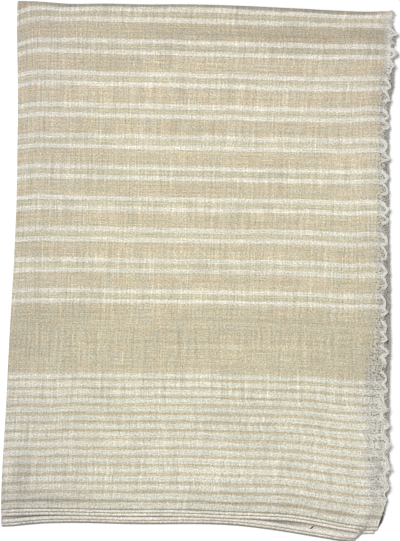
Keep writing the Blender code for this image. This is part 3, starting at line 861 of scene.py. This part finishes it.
def edge_colours(colour, at, stripes, weave):
    """The cut ends and the loose grey weft of the woven edges, the gaps between its threads, and
    painted shade on the second ply's edge strip, with a painted shadow at its near corner.
    """
    colour = blend(at.from_end.over(4.4, 3.4) * (1.0 - at.on_top), colour, END_CREAM)
    # the last millimetre of each ply: a beige weft line, partly painted shade in the gap below the
    # ply's end
    colour = blend(at.from_end.over(1.3, 0.6, 0.0, 0.8), colour, END_LINE)
    ragged_edge = (weave["Grain"] - 0.5) * (15 * MM) + at.from_edge
    loose_width = at.from_end.over(200, 112, 5.5 * MM, 19 * MM)
    loose = (ragged_edge / loose_width).ramp(1.25, 0.75) * at.from_end.over(8, 34, 0.2)
    colour = blend(loose * at.from_end.over(150, 118, 0.5, 0.55), colour, EDGE_GREY)
    # painted shade on the second ply's edge strip
    back_edge = at.from_edge.over(16, 8) * at.on_back * at.from_end.over(8, 26)
    colour = blend(back_edge * 0.85, colour, BACK_SHADE_GREY)
    # painted shadow at the near corner of the second ply's edge strip
    corner_shadow = (at.from_edge.over(3.2, 2.2) * at.from_end.over(38, 28) * at.on_back
              * at.from_end.over(1, 4))
    colour = blend(corner_shadow, colour, CORNER_SHADOW_GREY)
    far_corner = at.past_far.over(-66, -44)
    pale_edge = far_corner * at.on_top * ragged_edge.over(11, 3, 0.0, 0.6)
    gaps = scaled_noise(at.point, 1.9, 1.6, 1.0, 0.5, 130.0).ramp(0.52, 0.61) * loose
    gaps = gaps * (1.0 - stripes["Cream"] * 0.55) * (1.0 - far_corner * 0.9)
    return blend(pale_edge, colour, END_CREAM), gaps


# %% Mark the single spots
# places in mm from the first woven edge and from the cut end
MARKS = table(
    "across along wide long core tone",
    (27, 475.5, 30, 9, 0.3, 0.88),
    (338, 34, 11, 30, 0.0, 0.84),
    (300, 8, 40, 6, 0.3, 0.90),
    (256, 433, 55, 18, 0.3, 0.94),
    (250, 36, 50, 24, 0.3, 0.96),
    (317, 24, 22, 13, 0.2, 1.06),
    (154, 153.4, 1.3, 1.0, 0.5, 1.35),
    (178.5, 253.6, 1.2, 0.9, 0.5, 1.3),
    (47, CLOTH_LENGTH / MM - 4.9, 1.1, 1.8, 0.8, 0.04),
    (5, FAR_TURN_START / MM - 3, 12, 7, 0.2, 1.10),
)


def spot_tone(at):
    """How light or dark the single marks are, 1 where there is none."""
    tone = 1.0
    for mark in MARKS:
        away = stretched(at.point, mark.wide, mark.long,
                         (-mark.across / mark.wide, -mark.along / mark.long, 0.0))
        away = values_of(put(at.point.id_data, "ShaderNodeVectorMath", {0: away},
                             operation="LENGTH"))["Value"]
        tone = away.ramp(mark.core, 1.0, mark.tone, 1.0) * tone
    return tone


# %% Paint shade on the folds and the ends


def painted_shade_masks(at):
    """Painted shade on the far turn, and painted shadow over the stretch of cloth tucked in at the
    near fold.
    """
    uneven = scaled_noise(at.point, 30, 400, 1.0, 0.5, 170.0) * (5 * MM) + at.past_far
    far_turn_shade = (uneven.over(-0.2, 2.4) * at.past_turn.over(30, 0) * at.from_edge.over(6, 26)
                  * at.from_fold.over(12, 46, 0.2))
    tucked = (at.far_half * at.from_end.over(3.0, 4.6) * at.from_end.over(20, 10)
              * at.from_fold.over(4, 34, 0.3) * at.from_edge.over(44, 78, 0.1))
    return far_turn_shade, tucked


def tone_with_shade(tone, at, stripes, far_turn_shade, tucked, band):
    """The tone once the painted shade of folds, turns and edges, and the other darker stretches, have
    taken their share of the light.
    """
    # painted shade: darker towards the far turn, the left fold and the woven edge, and on the far
    # turn, at the near fold and over the tucked stretch
    off_cream = 1.0 - stripes["Cream"] * 0.6
    to_far = at.past_far.over(-85, -12) * at.past_turn.over(30, 0) * off_cream
    dull = (at.past_far.over(-52, -38) * at.past_far.over(-12, -24) * at.from_fold.over(90, 140)
            * off_cream)
    woven_edge = at.from_edge.over(26, 9) * at.from_end.over(118, 135)
    inside_edge = (at.from_edge.over(4, 8) * at.from_edge.over(22, 15)
                   * at.from_end.over(150, 118) * at.from_end.over(16, 40))
    near_corner = at.from_end.over(80, 30) * at.from_fold.over(100, 60)
    to_end = at.from_end.over(30, 8) * at.on_top * at.from_edge.over(14, 60, 0.1)
    last_line = at.from_end.over(11, 9.5) * (1.0 - stripes["Cream"])
    # painted shade along the near fold, where it turns down to the table
    near_fold_shade = abs(at.along - (CLOTH_LENGTH / 2 + 2 * MM)).over(2.6, 1.4)
    deep_tuck = tucked * at.from_fold.over(250, 190)
    for tone_mask, strength in (
            (woven_edge, 0.07), (at.from_fold.over(60, 0), 0.085), (to_far, 0.085),
            (at.from_fold.over(135, 50), 0.052), (dull, 0.11), (near_corner, 0.05),
            (stripes["Beat"], -0.11), (band, 0.07), (to_end, 0.10), (last_line, 0.10),
            (far_turn_shade, 0.08), (near_fold_shade, 0.6), (tucked, 0.34), (deep_tuck, 0.5),
            (inside_edge, 0.10)):
        tone = tone * (1.0 - tone_mask * strength)
    return tone


def hue_tint(at, band):
    """A slight change of hue, as a colour to multiply by: pinker patches, and less yellow folds."""
    red = scaled_noise(at.point, 24, 10, 2.0, 0.5, 190.0) * 0.040 + 0.980
    red = red + at.past_far.over(-150, -60) * 0.013 - band * 0.012
    blue = (scaled_noise(at.point, 14, 9, 2.0, 0.5, 210.0) - 0.5) * 0.075 + 0.976
    for distance, start, stop, faded in (
            (at.from_fold, 105, 0, 0.050), (at.from_edge, 150, 60, 0.008),
            (at.from_edge, 70, 8, 0.018), (at.past_far, -240, -30, 0.032),
            (at.from_end, 95, 40, 0.020)):
        blue = blue + distance.over(start, stop) * faded
    return put(at.point.id_data, "ShaderNodeCombineXYZ", {"X": red, "Y": 1.0, "Z": blue}).outputs[0]


# %% Mix the cloth
SOFT_WOOL = {"Roughness": 0.92, "Specular IOR Level": 0.25, "Sheen Weight": 0.22,
             "Sheen Roughness": 0.45}
WEAVE_CONTRAST = {"Grain": 1.7, "Warp": 1.1, "Weft": 1.15, "Relief": 0.2}
BUMP_STRENGTH, BUMP_DEPTH = 0.55, 0.3 * MM


def shawl_material():
    """Soft beige wool with its stripes, its weave, its marks and its painted shade."""
    material, shader = new_material("woven_wool", SOFT_WOOL)
    tree = material.node_tree
    at = cloth_measures(tree)
    stripes = place_stripes(tree, at)
    weave = values_of(put(tree, "ShaderNodeGroup", {"Across": at.across, "Along": at.along},
                          node_tree=weave_group))
    colour, gaps = edge_colours(thread_colour(at, stripes, weave), at, stripes, weave)
    far_turn_shade, tucked = painted_shade_masks(at)
    # painted shade over the far turn and the tucked stretch
    colour = blend(far_turn_shade * 0.55, colour, PAINTED_SHADE_GREY)
    colour = blend(tucked * 0.6, colour, PAINTED_SHADE_GREY)

    in_band = (at.from_end.ramp(BORDER_END - 1 * MM, BORDER_END + 1 * MM)
               * at.from_end.ramp(BAND_END + 2 * MM, BAND_END - 2 * MM))
    patches = scaled_noise(at.point, 80, 55, 2.0, 0.5, 150.0) * 0.2 + 0.9
    tone = (1.03 - gaps * 0.62) * spot_tone(at) * patches
    tone = tone_with_shade(tone, at, stripes, far_turn_shade, tucked, in_band)
    for name, strength in WEAVE_CONTRAST.items():
        tone = tone * (weave[name] * strength + (1 - strength / 2))
    tinted = put(tree, "ShaderNodeVectorMath", {0: colour, 1: hue_tint(at, in_band)},
                 operation="MULTIPLY")
    toned = put(tree, "ShaderNodeVectorMath", {0: tinted.outputs[0], "Scale": tone},
                operation="SCALE")
    give(shader.inputs["Base Color"], toned.outputs[0])
    bump = put(tree, "ShaderNodeBump", {
        "Height": weave["Relief"], "Strength": BUMP_STRENGTH, "Distance": BUMP_DEPTH})
    give(shader.inputs["Normal"], bump.outputs[0])
    return material


shawl_cloth = shawl_material()
print("cloth material has", len(shawl_cloth.node_tree.nodes), "nodes")

# %% Weave the two pieces
UNDER_LAP = FAR_TURN_END / MM + 3
FOLD_AT = HALF_WIDTH / MM
WIDE = CLOTH_WIDTH / MM
LONG = CLOTH_LENGTH / MM
TURN = TURN_LENGTH / MM
near_turn = UNDER_LAP + (FAR_LINE - NEAR_LINE) / MM - 3
far_again = near_turn + 5 + (INNER_FAR_LINE - NEAR_LINE) / MM
upper_across = lines(
    0, (2, 0.7), (24, 1.7), (FOLD_AT - 14, 4.2), (FOLD_AT - TURN, 2.2), (FOLD_AT + TURN, 0.4),
    (FOLD_AT + 14, 3), (WIDE - 30, 13), (WIDE - 2, 2.6), (WIDE, 0.7))
upper_along = lines(
    0, (3, 0.5), (136, 1.4), (424, 3.8), (492, 2.3), (FAR_TURN_START / MM, 2.0),
    (FAR_TURN_END / MM, 0.8), (UNDER_LAP, 1.5))
lower_across = lines(
    0, (2, 0.7), (30, 4), (FOLD_AT - 12, 14), (FOLD_AT - TURN, 3), (FOLD_AT + TURN, 0.5),
    (FOLD_AT + 12, 3), (WIDE - 30, 14), (WIDE - 2, 4), (WIDE, 0.7))
lower_along = lines(
    UNDER_LAP, (near_turn, 7.5), (near_turn + 6, 0.6), (far_again, 7.5), (far_again + 6, 0.6),
    (LONG - 6, 7.5), (LONG, 0.6))
upper_fold = weave_sheet("upper_fold", upper_across, upper_along, shawl_cloth)
lower_folds = weave_sheet("lower_folds", lower_across, lower_along, shawl_cloth)
for piece, nodes in ((upper_fold, ("top_ply", "second_ply")), (lower_folds, ("folded_layers",))):
    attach(piece, "root")
    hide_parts(*nodes)

# %% [markdown]
# ## Where the cream lines leave the cloth
#
# At the woven edge the cream weft is not cut. It is carried along the outside from each cream
# line to the next, as a loose bundle of threads. So the bundles start and end where the stripe
# rule puts its cream lines. The same sums as in the stripe group, done here in plain numbers,
# list those places along the whole cloth.

# %% List the cream lines
BORDER_LINES = 14
LAST_BORDER_LINE = BORDER_END - 2.5 * MM  # the border ends with a narrower cream line


def pair_middle(index):
    """How far from the cut end the middle of a pair of cream lines lies."""
    growing = (math.sqrt(PAIR_PITCH**2 + 4 * PAIR_GROWTH * (EVEN_FROM - PAIR_START))
               - PAIR_PITCH) / (2 * PAIR_GROWTH)
    if index <= growing:
        return PAIR_START + PAIR_PITCH * index + PAIR_GROWTH * index**2
    return EVEN_FROM + (index - growing) * EVEN_PITCH


def cream_lines():
    """Middles of the cream lines, from one end of the cloth to the other."""
    half = [BORDER_FIRST + BORDER_PITCH * (i + 0.5) for i in range(BORDER_LINES)]
    half.append(LAST_BORDER_LINE)
    index = 0
    while pair_middle(index) - PAIR_HALF < CLOTH_LENGTH / 2:
        half += [pair_middle(index) - PAIR_HALF, pair_middle(index) + PAIR_HALF]
        index += 1
    half = [place for place in half if place < CLOTH_LENGTH / 2]
    return half + [CLOTH_LENGTH - place for place in reversed(half)]


line_places = cream_lines()
print(len(line_places), "cream lines, the first few at",
      [round(place / MM, 1) for place in line_places[:4]], "mm")

# %% [markdown]
# ## The yarn along the woven edge
#
# Each float is a curve with four control points, like a small hook: it leaves one cream line,
# swings out, is pulled towards the near end, and goes back into the cloth at the next line. A
# Geometry Nodes tree turns each curve into a loose twist of threads. Between the floats every
# weft thread makes a tiny loop where it turns back, and those are single thin threads.

# %% Build the tree that spins threads along curves
YARN_SIDES = 5
YARN_GRAIN = 520.0  # scale of the noise that makes the yarn uneven
FULL_TURN = 2 * math.pi


def spinning_tree(threads):
    """A Geometry Nodes tree that lays a loose twist of threads along each edge chain."""
    tree, (paths, bundle_radius, thread_radius, turns, material) = open_group(
        f"spin_{threads}_threads", "GeometryNodeTree",
        "Geometry", "Bundle Radius", "Thread Radius", "Turns", "Material")

    def node(kind, inputs=(), output=0, **settings):
        return Value(put(tree, kind, inputs, **settings).outputs[output])

    def vector(operation, inputs):
        return node("ShaderNodeVectorMath", inputs, operation=operation)

    curves = node("GeometryNodeMeshToCurve", {"Mesh": paths})
    part = node("GeometryNodeSplineParameter", output="Factor")
    phase = node("GeometryNodeInputNamedAttribute", {"Name": "phase"}, data_type="FLOAT")
    normal = node("GeometryNodeInputNormal")
    side = vector("CROSS_PRODUCT", {0: node("GeometryNodeInputTangent"), 1: normal})
    loose = node("ShaderNodeTexNoise", {"Scale": YARN_GRAIN, "Detail": 2.0}, "Fac")
    spread = bundle_radius * (loose * 1.6 + 0.2)
    width = thread_radius * (loose * 1.5 + 0.25)
    turned = (part * turns + phase) * FULL_TURN
    profile = node("GeometryNodeCurvePrimitiveCircle", {"Resolution": YARN_SIDES, "Radius": 1.0})
    joined = tree.nodes.new("GeometryNodeJoinGeometry")
    for thread in range(threads):
        angle = turned + thread * FULL_TURN / threads
        offset = vector("ADD", {
            0: vector("SCALE", {0: normal, "Scale": calc("COSINE", angle) * spread}),
            1: vector("SCALE", {0: side, "Scale": calc("SINE", angle) * spread})})
        moved = node("GeometryNodeSetPosition", {"Geometry": curves, "Offset": offset})
        give(joined.inputs[0], node("GeometryNodeCurveToMesh", {
            "Curve": moved, "Profile Curve": profile, "Scale": width, "Fill Caps": True}))
    real = node("GeometryNodeRealizeInstances", {"Geometry": joined.outputs[0]})
    smooth = node("GeometryNodeSetShadeSmooth", {"Geometry": real})
    dressed = node("GeometryNodeSetMaterial", {"Geometry": smooth, "Material": material})
    return close_group(tree, Geometry=dressed)


def spin_yarn(name, chains, twist, material, seed):
    """Turns chains of points into a mesh of threads with the tree above."""
    threads, bundle, thread, turns = twist
    points = np.concatenate(chains)
    starts = np.cumsum([0] + [len(chain) for chain in chains])
    edges = [(i, i + 1) for a, b in zip(starts, starts[1:]) for i in range(a, b - 1)]
    mesh = bpy.data.meshes.new(name + "_path")
    mesh.from_pydata(points.tolist(), edges, [])
    phases = np.random.default_rng(seed).uniform(0, 1, len(chains))
    layer = mesh.attributes.new("phase", "FLOAT", "POINT")
    layer.data.foreach_set("value", np.repeat(phases, np.diff(starts)).astype(np.float32))
    piece = add_object(name, mesh)
    spin = piece.modifiers.new("spin", "NODES")
    spin.node_group = TREES[threads]
    values = {"Bundle Radius": bundle * MM, "Thread Radius": thread * MM, "Turns": turns,
              "Material": material}
    for item in spin.node_group.interface.items_tree:
        if item.in_out == "INPUT" and item.name in values:
            spin[item.identifier] = values[item.name]
    live = piece.evaluated_get(bpy.context.evaluated_depsgraph_get())
    finished = bpy.data.meshes.new_from_object(live)
    piece.modifiers.remove(spin)
    piece.data = finished
    print(name, "has", sum(len(face.vertices) - 2 for face in finished.polygons), "triangles")
    return piece


TREES = {threads: spinning_tree(threads) for threads in (2, 1)}

# %% [markdown]
# ## Lay out the floats and the little loops
#
# A table says how far the floats swing out along each part of the top edge, since some parts lie
# loose and others are pulled in. Its `hops` count the lines from where a float leaves the cloth
# to where it goes back in. Where the next line is far off, the float is slack: it is a thin hook
# that turns back half-way. The plies below are pressed, so their floats lie close to the edge.

# %% Follow a woven edge
YARN_FLOOR = 0.7 * MM  # no yarn's middle lies lower than this
EDGE_STEP = 0.5 * MM
LOOK_IN = 2 * MM  # how far inside the edge its direction is taken
LEAN, RISE = 0.3, (-0.8 * MM, 0.4 * MM)  # how little the yarn leans along the edge, or up


class WovenEdge:
    """Places and outward directions along one edge of the cloth."""

    def __init__(self, across):
        self.across = across
        self.inward = 1 if across < HALF_WIDTH else -1
        self.along = np.arange(0, CLOTH_LENGTH, EDGE_STEP)
        out = folded_place(across, self.along) - folded_place(
            across + self.inward * LOOK_IN, self.along)
        out[:, 1] *= LEAN
        out[:, 2] = np.clip(out[:, 2], *RISE)
        self.out = out / np.linalg.norm(out, axis=1)[:, None]

    def at(self, along, outward, lift):
        """Points on or beside the edge: how far along the cloth, how far out, how much higher."""
        inside = np.maximum(-outward, 0)
        place = folded_place(self.across + self.inward * inside, along)
        out = np.stack([np.interp(along, self.along, self.out[:, i]) for i in range(3)], 1)
        place = place + out * np.maximum(outward, 0)[:, None]
        place[:, 2] = np.maximum(place[:, 2] + lift, YARN_FLOOR)
        return place


front_edge, back_edge = WovenEdge(0.0), WovenEdge(CLOTH_WIDTH)
print("each woven edge is followed in", len(front_edge.along), "steps")

# %% Shape a float and a loop
FLOAT_POINTS = 20
LOOP_POINTS = 7
TUCK = 1.2 * MM  # how far a float's end goes back into the cloth
LOOP_TUCK = 0.6 * MM


def hook(edge, start, stop, inside, reach, skew, lift, droop, dice):
    """A float from one cream line to the next, as points on a four-point curve."""
    t = np.linspace(0, 1, FLOAT_POINTS)
    away = np.array([-inside, reach * (1.4 - 1.3 * skew), reach * (1.4 + 0.7 * skew), -TUCK])
    near = start + (stop - start) * np.array([
        0.0, 0.12 + 0.3 * skew + dice.uniform(-0.1, 0.12), dice.uniform(0.85, 1.15), 1.0])
    weights = np.stack([(1 - t) ** 3, 3 * t * (1 - t) ** 2, 3 * t**2 * (1 - t), t**3])
    outward, along = away @ weights, near @ weights
    bump = np.sin(np.pi * t)
    outward = outward + 0.4 * MM * bump * np.sin(
        2 * np.pi * (t * dice.uniform(1, 2.2) + dice.uniform()))
    height = CLOTH_THICKNESS / 2 + lift * bump - droop * np.clip(outward, 0, None)
    return edge.at(along, outward, height)


def little_loop(edge, along, pitch, reach, dice, lift):
    """One weft thread turning back at the edge."""
    t = np.linspace(0, 1, LOOP_POINTS)
    bump = np.sin(np.pi * t)
    where = along + pitch * (0.5 - t) + dice.uniform(-0.4, 0.4) * pitch * bump
    height = np.full(LOOP_POINTS, lift) + dice.uniform(-0.2, 0.5) * MM * t
    return edge.at(where, reach * bump - LOOP_TUCK, height)


def edge_loops(edge, start, stop, pitch, reach, lift, seed):
    """A row of little loops, with their pitch, reach and lift in millimetres."""
    dice = np.random.default_rng(seed)
    return [little_loop(edge, place, pitch * 1.3 * MM, reach * MM * dice.uniform(0.4, 1.6), dice,
                        lift * MM)
            for place in np.arange(start, stop, pitch * MM)]


def low_floats(edge, start, stop, seed):
    """Short floats that lie close to a pressed edge."""
    dice = np.random.default_rng(seed)
    ends = [place for place in line_places if start < place < stop]
    return [hook(edge, far, near, 2 * MM, 0.5 * MM * dice.uniform(0.6, 1.3), 0.1, 0.1 * MM, 0.1, dice)
            for near, far in zip(ends, ends[1:])]


print("a float is drawn with", FLOAT_POINTS, "points, a loop with", LOOP_POINTS)

# %% Lay the top edge's floats
TOP_FLOATS = table(
    "start stop hops inside short long skew strands",
    (0, 18, 1, 4.0, 0.1, 0.3, 0.8, 2),
    (18, 112, 2, 4.5, 1.0, 2.0, 1.0, 2),
    (112, 205, 1, 2.0, 3.8, 5.8, 0.5, 6),
    (205, 300, 1, 2.0, 4.8, 6.4, 0.45, 8),
    (300, 410, 1, 2.0, 4.8, 6.4, 0.45, 8),
    (410, 450, 1, 2.5, 3.6, 5.4, 0.5, 8),
    (450, 484, 1, 3.0, 4.6, 6.4, 0.1, 6),
    (484, 2100, 1, 4.0, 1.2, 2.6, 0.5, 5),
)
BAND_SCALLOPS = (9.5, 14.0)  # mm between the scallops of the plain band
LONG_HOP = 12 * MM  # a longer way to the next line leaves a float slack
SLACK_STRANDS, SLACK_SKEW = 4, 0.75


def float_ends(dice):
    """Where the top edge's floats start and stop: the cream lines, and scallops in the band."""
    ends = [place for place in line_places if place < FAR_TURN_END]
    place = BORDER_END + 9 * MM
    while place < BAND_END - 4 * MM:
        ends.append(place)
        place += dice.uniform(*BAND_SCALLOPS) * MM
    return sorted(ends)


def top_floats(first, last):
    """The floats of the top edge that begin between two places along the cloth."""
    dice, chains = np.random.default_rng(31), []
    ends = float_ends(dice)
    for index, near in enumerate(ends[:-2]):
        if not first <= near < last:
            continue
        part = next(row for row in TOP_FLOATS if row.start <= near / MM < row.stop)
        far = ends[index + part.hops]
        reach = dice.uniform(part.short, part.long) * (0.3 if (index + 1) % part.hops else 1) * MM
        slack = far - near > LONG_HOP and part.hops == 1
        skew = max(part.skew, SLACK_SKEW) if slack else part.skew
        if slack:
            near = far - (far - near) * dice.uniform(0.4, 0.75)
        for _ in range(SLACK_STRANDS if slack else part.strands):
            start = far + dice.uniform(-1.8, 1.4) * MM
            stop = near + dice.uniform(-1.4, 1.8) * MM
            chains.append(hook(
                front_edge, start, stop, part.inside * dice.uniform(0.5, 1.2) * MM,
                reach * dice.uniform(0.7, 1.08), skew * dice.uniform(0.6, 1.2),
                dice.uniform(0.4, 1.8) * MM, 0.12, dice))
    return chains


print("floats swing out", TOP_FLOATS[3].short, "to", TOP_FLOATS[3].long, "mm beside the pairs")

# %% [markdown]
# ## Spin the three rows of yarn
#
# One row lies beside each stretch of cloth that shows at the right side: the top ply, the ply
# under it, and the six plies below. The same recipe makes two yarns: a light one for the top row,
# and one with painted shade for the rows beneath it. Both are painted darker where they lie low.

# %% Dye the yarn
SOFT_YARN = {"Roughness": 0.9, "Specular IOR Level": 0.25, "Sheen Weight": 0.25,
             "Sheen Roughness": 0.45}


def yarn_material(name, dark, bright, low):
    """Soft loose yarn, mottled between two tones, and a painted shade tone where it lies low."""
    material, shader = new_material(name, SOFT_YARN)
    tree = material.node_tree
    point = put(tree, "ShaderNodeTexCoord").outputs["Object"]
    shade = put(tree, "ShaderNodeTexNoise", {"Vector": point, "Scale": 600.0, "Detail": 2.0})
    high = values_of(put(tree, "ShaderNodeSeparateXYZ", {0: point}))["Z"]
    mottled = blend(Value(shade.outputs["Fac"]), dark, bright)
    give(shader.inputs["Base Color"], blend(high.over(5, 8), low, mottled))
    return material


selvedge_yarn = yarn_material(
    "selvedge_yarn", dyed(222, 220, 208), dyed(255, 254, 248), dyed(208, 206, 195))
# the rows beneath: the same yarn with painted shade
shaded_yarn = yarn_material(
    "shaded_yarn", dyed(170, 168, 159), dyed(200, 198, 189), dyed(182, 180, 171))
print("yarns:", selvedge_yarn.name, shaded_yarn.name)

# %% Spin the rows


def spin_row(name, material, *parts):
    """A row of yarn, spun part by part and joined into one object."""
    pieces = [spin_yarn(part, chains, twist, material, seed)
              for part, chains, twist, seed in parts]
    with bpy.context.temp_override(active_object=pieces[0], selected_editable_objects=pieces):
        bpy.ops.object.join()
    pieces[0].name = name
    return pieces[0]


# each twist has its number of threads, the two radii in mm, and its turns
top_row = spin_row(
    "top_selvedge_yarn", selvedge_yarn,
    ("border_floats", top_floats(0, BORDER_END), (2, 0.32, 0.32, 1.0), 1),
    ("top_floats", top_floats(BORDER_END, FAR_TURN_END), (2, 0.52, 0.40, 1.3), 1),
    ("top_loops", edge_loops(front_edge, 34 * MM, FAR_TURN_START, 1.2, 2.6, 0.1, 5),
     (1, 0.05, 0.28, 0.0), 2))
second_row = spin_row(
    "second_selvedge_yarn", shaded_yarn,
    ("second_floats", low_floats(back_edge, 0, FAR_TURN_START, 9), (2, 0.35, 0.3, 1.5), 3),
    ("second_loops", edge_loops(back_edge, 40 * MM, FAR_TURN_START, 1.6, 0.9, 0, 6),
     (1, 0.05, 0.3, 0.0), 4))
lower_parts = []
for label, edge in (("front", front_edge), ("back", back_edge)):
    lower_parts += [
        (f"lower_{label}_floats", low_floats(edge, FAR_TURN_END, CLOTH_LENGTH, 12),
         (2, 0.3, 0.28, 1.5), 7),
        (f"lower_{label}_loops", edge_loops(
            edge, FAR_TURN_END, CLOTH_LENGTH - 1 * MM, 3.2, 0.9, 0, 8), (1, 0.05, 0.28, 0.0), 8)]
lower_row = spin_row("lower_selvedge_yarn", shaded_yarn, *lower_parts)
for piece, node in ((top_row, "top_selvedge_loops"), (second_row, "second_selvedge_loops"),
                    (lower_row, "lower_selvedge_loops")):
    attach(piece, "root")
    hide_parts(node)

# %% [markdown]
# ## Floor, light and camera
#
# The shawl lies on a plain pale surface. One soft light hangs overhead, a little to the left, so
# the right side throws a narrow shadow, and a weaker fill stands towards the near end, so the cut
# ends stay light. The camera looks down, tipped twelve degrees towards the near end, from well
# away, so the sides stay nearly parallel.

# %% Lay the floor and hang the lights
FLOOR_HALF = 3.0
FLOOR_GREY = 0.95
FLOOR_GLOW = 0.03  # a little light of its own, for soft shadows
WORLD_LIGHT = 0.18


def add_floor():
    """A plain pale surface."""
    half = FLOOR_HALF
    mesh = bpy.data.meshes.new("floor")
    mesh.from_pydata(
        [(-half, -half, 0), (half, -half, 0), (half, half, 0), (-half, half, 0)], [], [(0, 1, 2, 3)])
    floor = add_object("floor", mesh)
    paper, shader = new_material("pale_paper", {
        "Base Color": (FLOOR_GREY, FLOOR_GREY, FLOOR_GREY, 1), "Roughness": 0.9,
        "Specular IOR Level": 0.1, "Emission Color": (1, 1, 1, 1),
        "Emission Strength": FLOOR_GLOW})
    mesh.materials.append(paper)


def add_light(name, place, size, power):
    """A round soft light that shines at the middle of the floor."""
    light = bpy.data.lights.new(name, "AREA")
    light.shape = "DISK"
    light.size = size
    light.energy = power
    lamp = add_object(name, light)
    lamp.location = place
    lamp.rotation_euler = (-Vector(place)).to_track_quat("-Z", "Y").to_euler()


add_floor()
add_light("window", (-0.5, 0.0, 2.55), 0.9, 55)
add_light("top_fill", (0.2, -0.9, 2.5), 1.4, 10.5)
world = bpy.data.worlds.new("studio")
world.use_nodes = True
world.node_tree.nodes["Background"].inputs["Color"].default_value = (1, 1, 1, 1)
world.node_tree.nodes["Background"].inputs["Strength"].default_value = WORLD_LIGHT
bpy.context.scene.world = world
bpy.context.scene.view_settings.view_transform = "Standard"
print("two lights over a pale floor")

# %% Set up the camera
CAMERA_TIP = math.radians(12)
CAMERA_ROLL = 0.02144
CAMERA_AWAY = 2.70
CAMERA_AIM = (0.88 * MM, -10.1 * MM)
FOCAL_PIXELS = 2778.0
LONG_SIDE = 541
FILM_WIDTH = 36.0  # millimetres of film along the long side


def add_camera():
    """A camera that looks down at the shawl from a little towards its near end."""
    camera = bpy.data.cameras.new("camera")
    camera.sensor_width = FILM_WIDTH
    camera.lens = FOCAL_PIXELS / LONG_SIDE * FILM_WIDTH
    camera.clip_start, camera.clip_end = 0.05, 20.0
    seen = add_object("camera", camera)
    back = Vector((0, -math.sin(CAMERA_TIP), math.cos(CAMERA_TIP)))
    right = Vector((1, 0, 0))
    up = back.cross(right)
    turned = right * math.cos(CAMERA_ROLL) + up * math.sin(CAMERA_ROLL)
    above = up * math.cos(CAMERA_ROLL) - right * math.sin(CAMERA_ROLL)
    aim = Vector((CAMERA_AIM[0] + packet_shift[0], CAMERA_AIM[1] + packet_shift[1], 0))
    rows = zip(turned, above, back, aim + back * CAMERA_AWAY)
    seen.matrix_world = Matrix((*rows, (0, 0, 0, 1)))
    bpy.context.scene.camera = seen


add_camera()
print("the camera stands", CAMERA_AWAY, "m away")
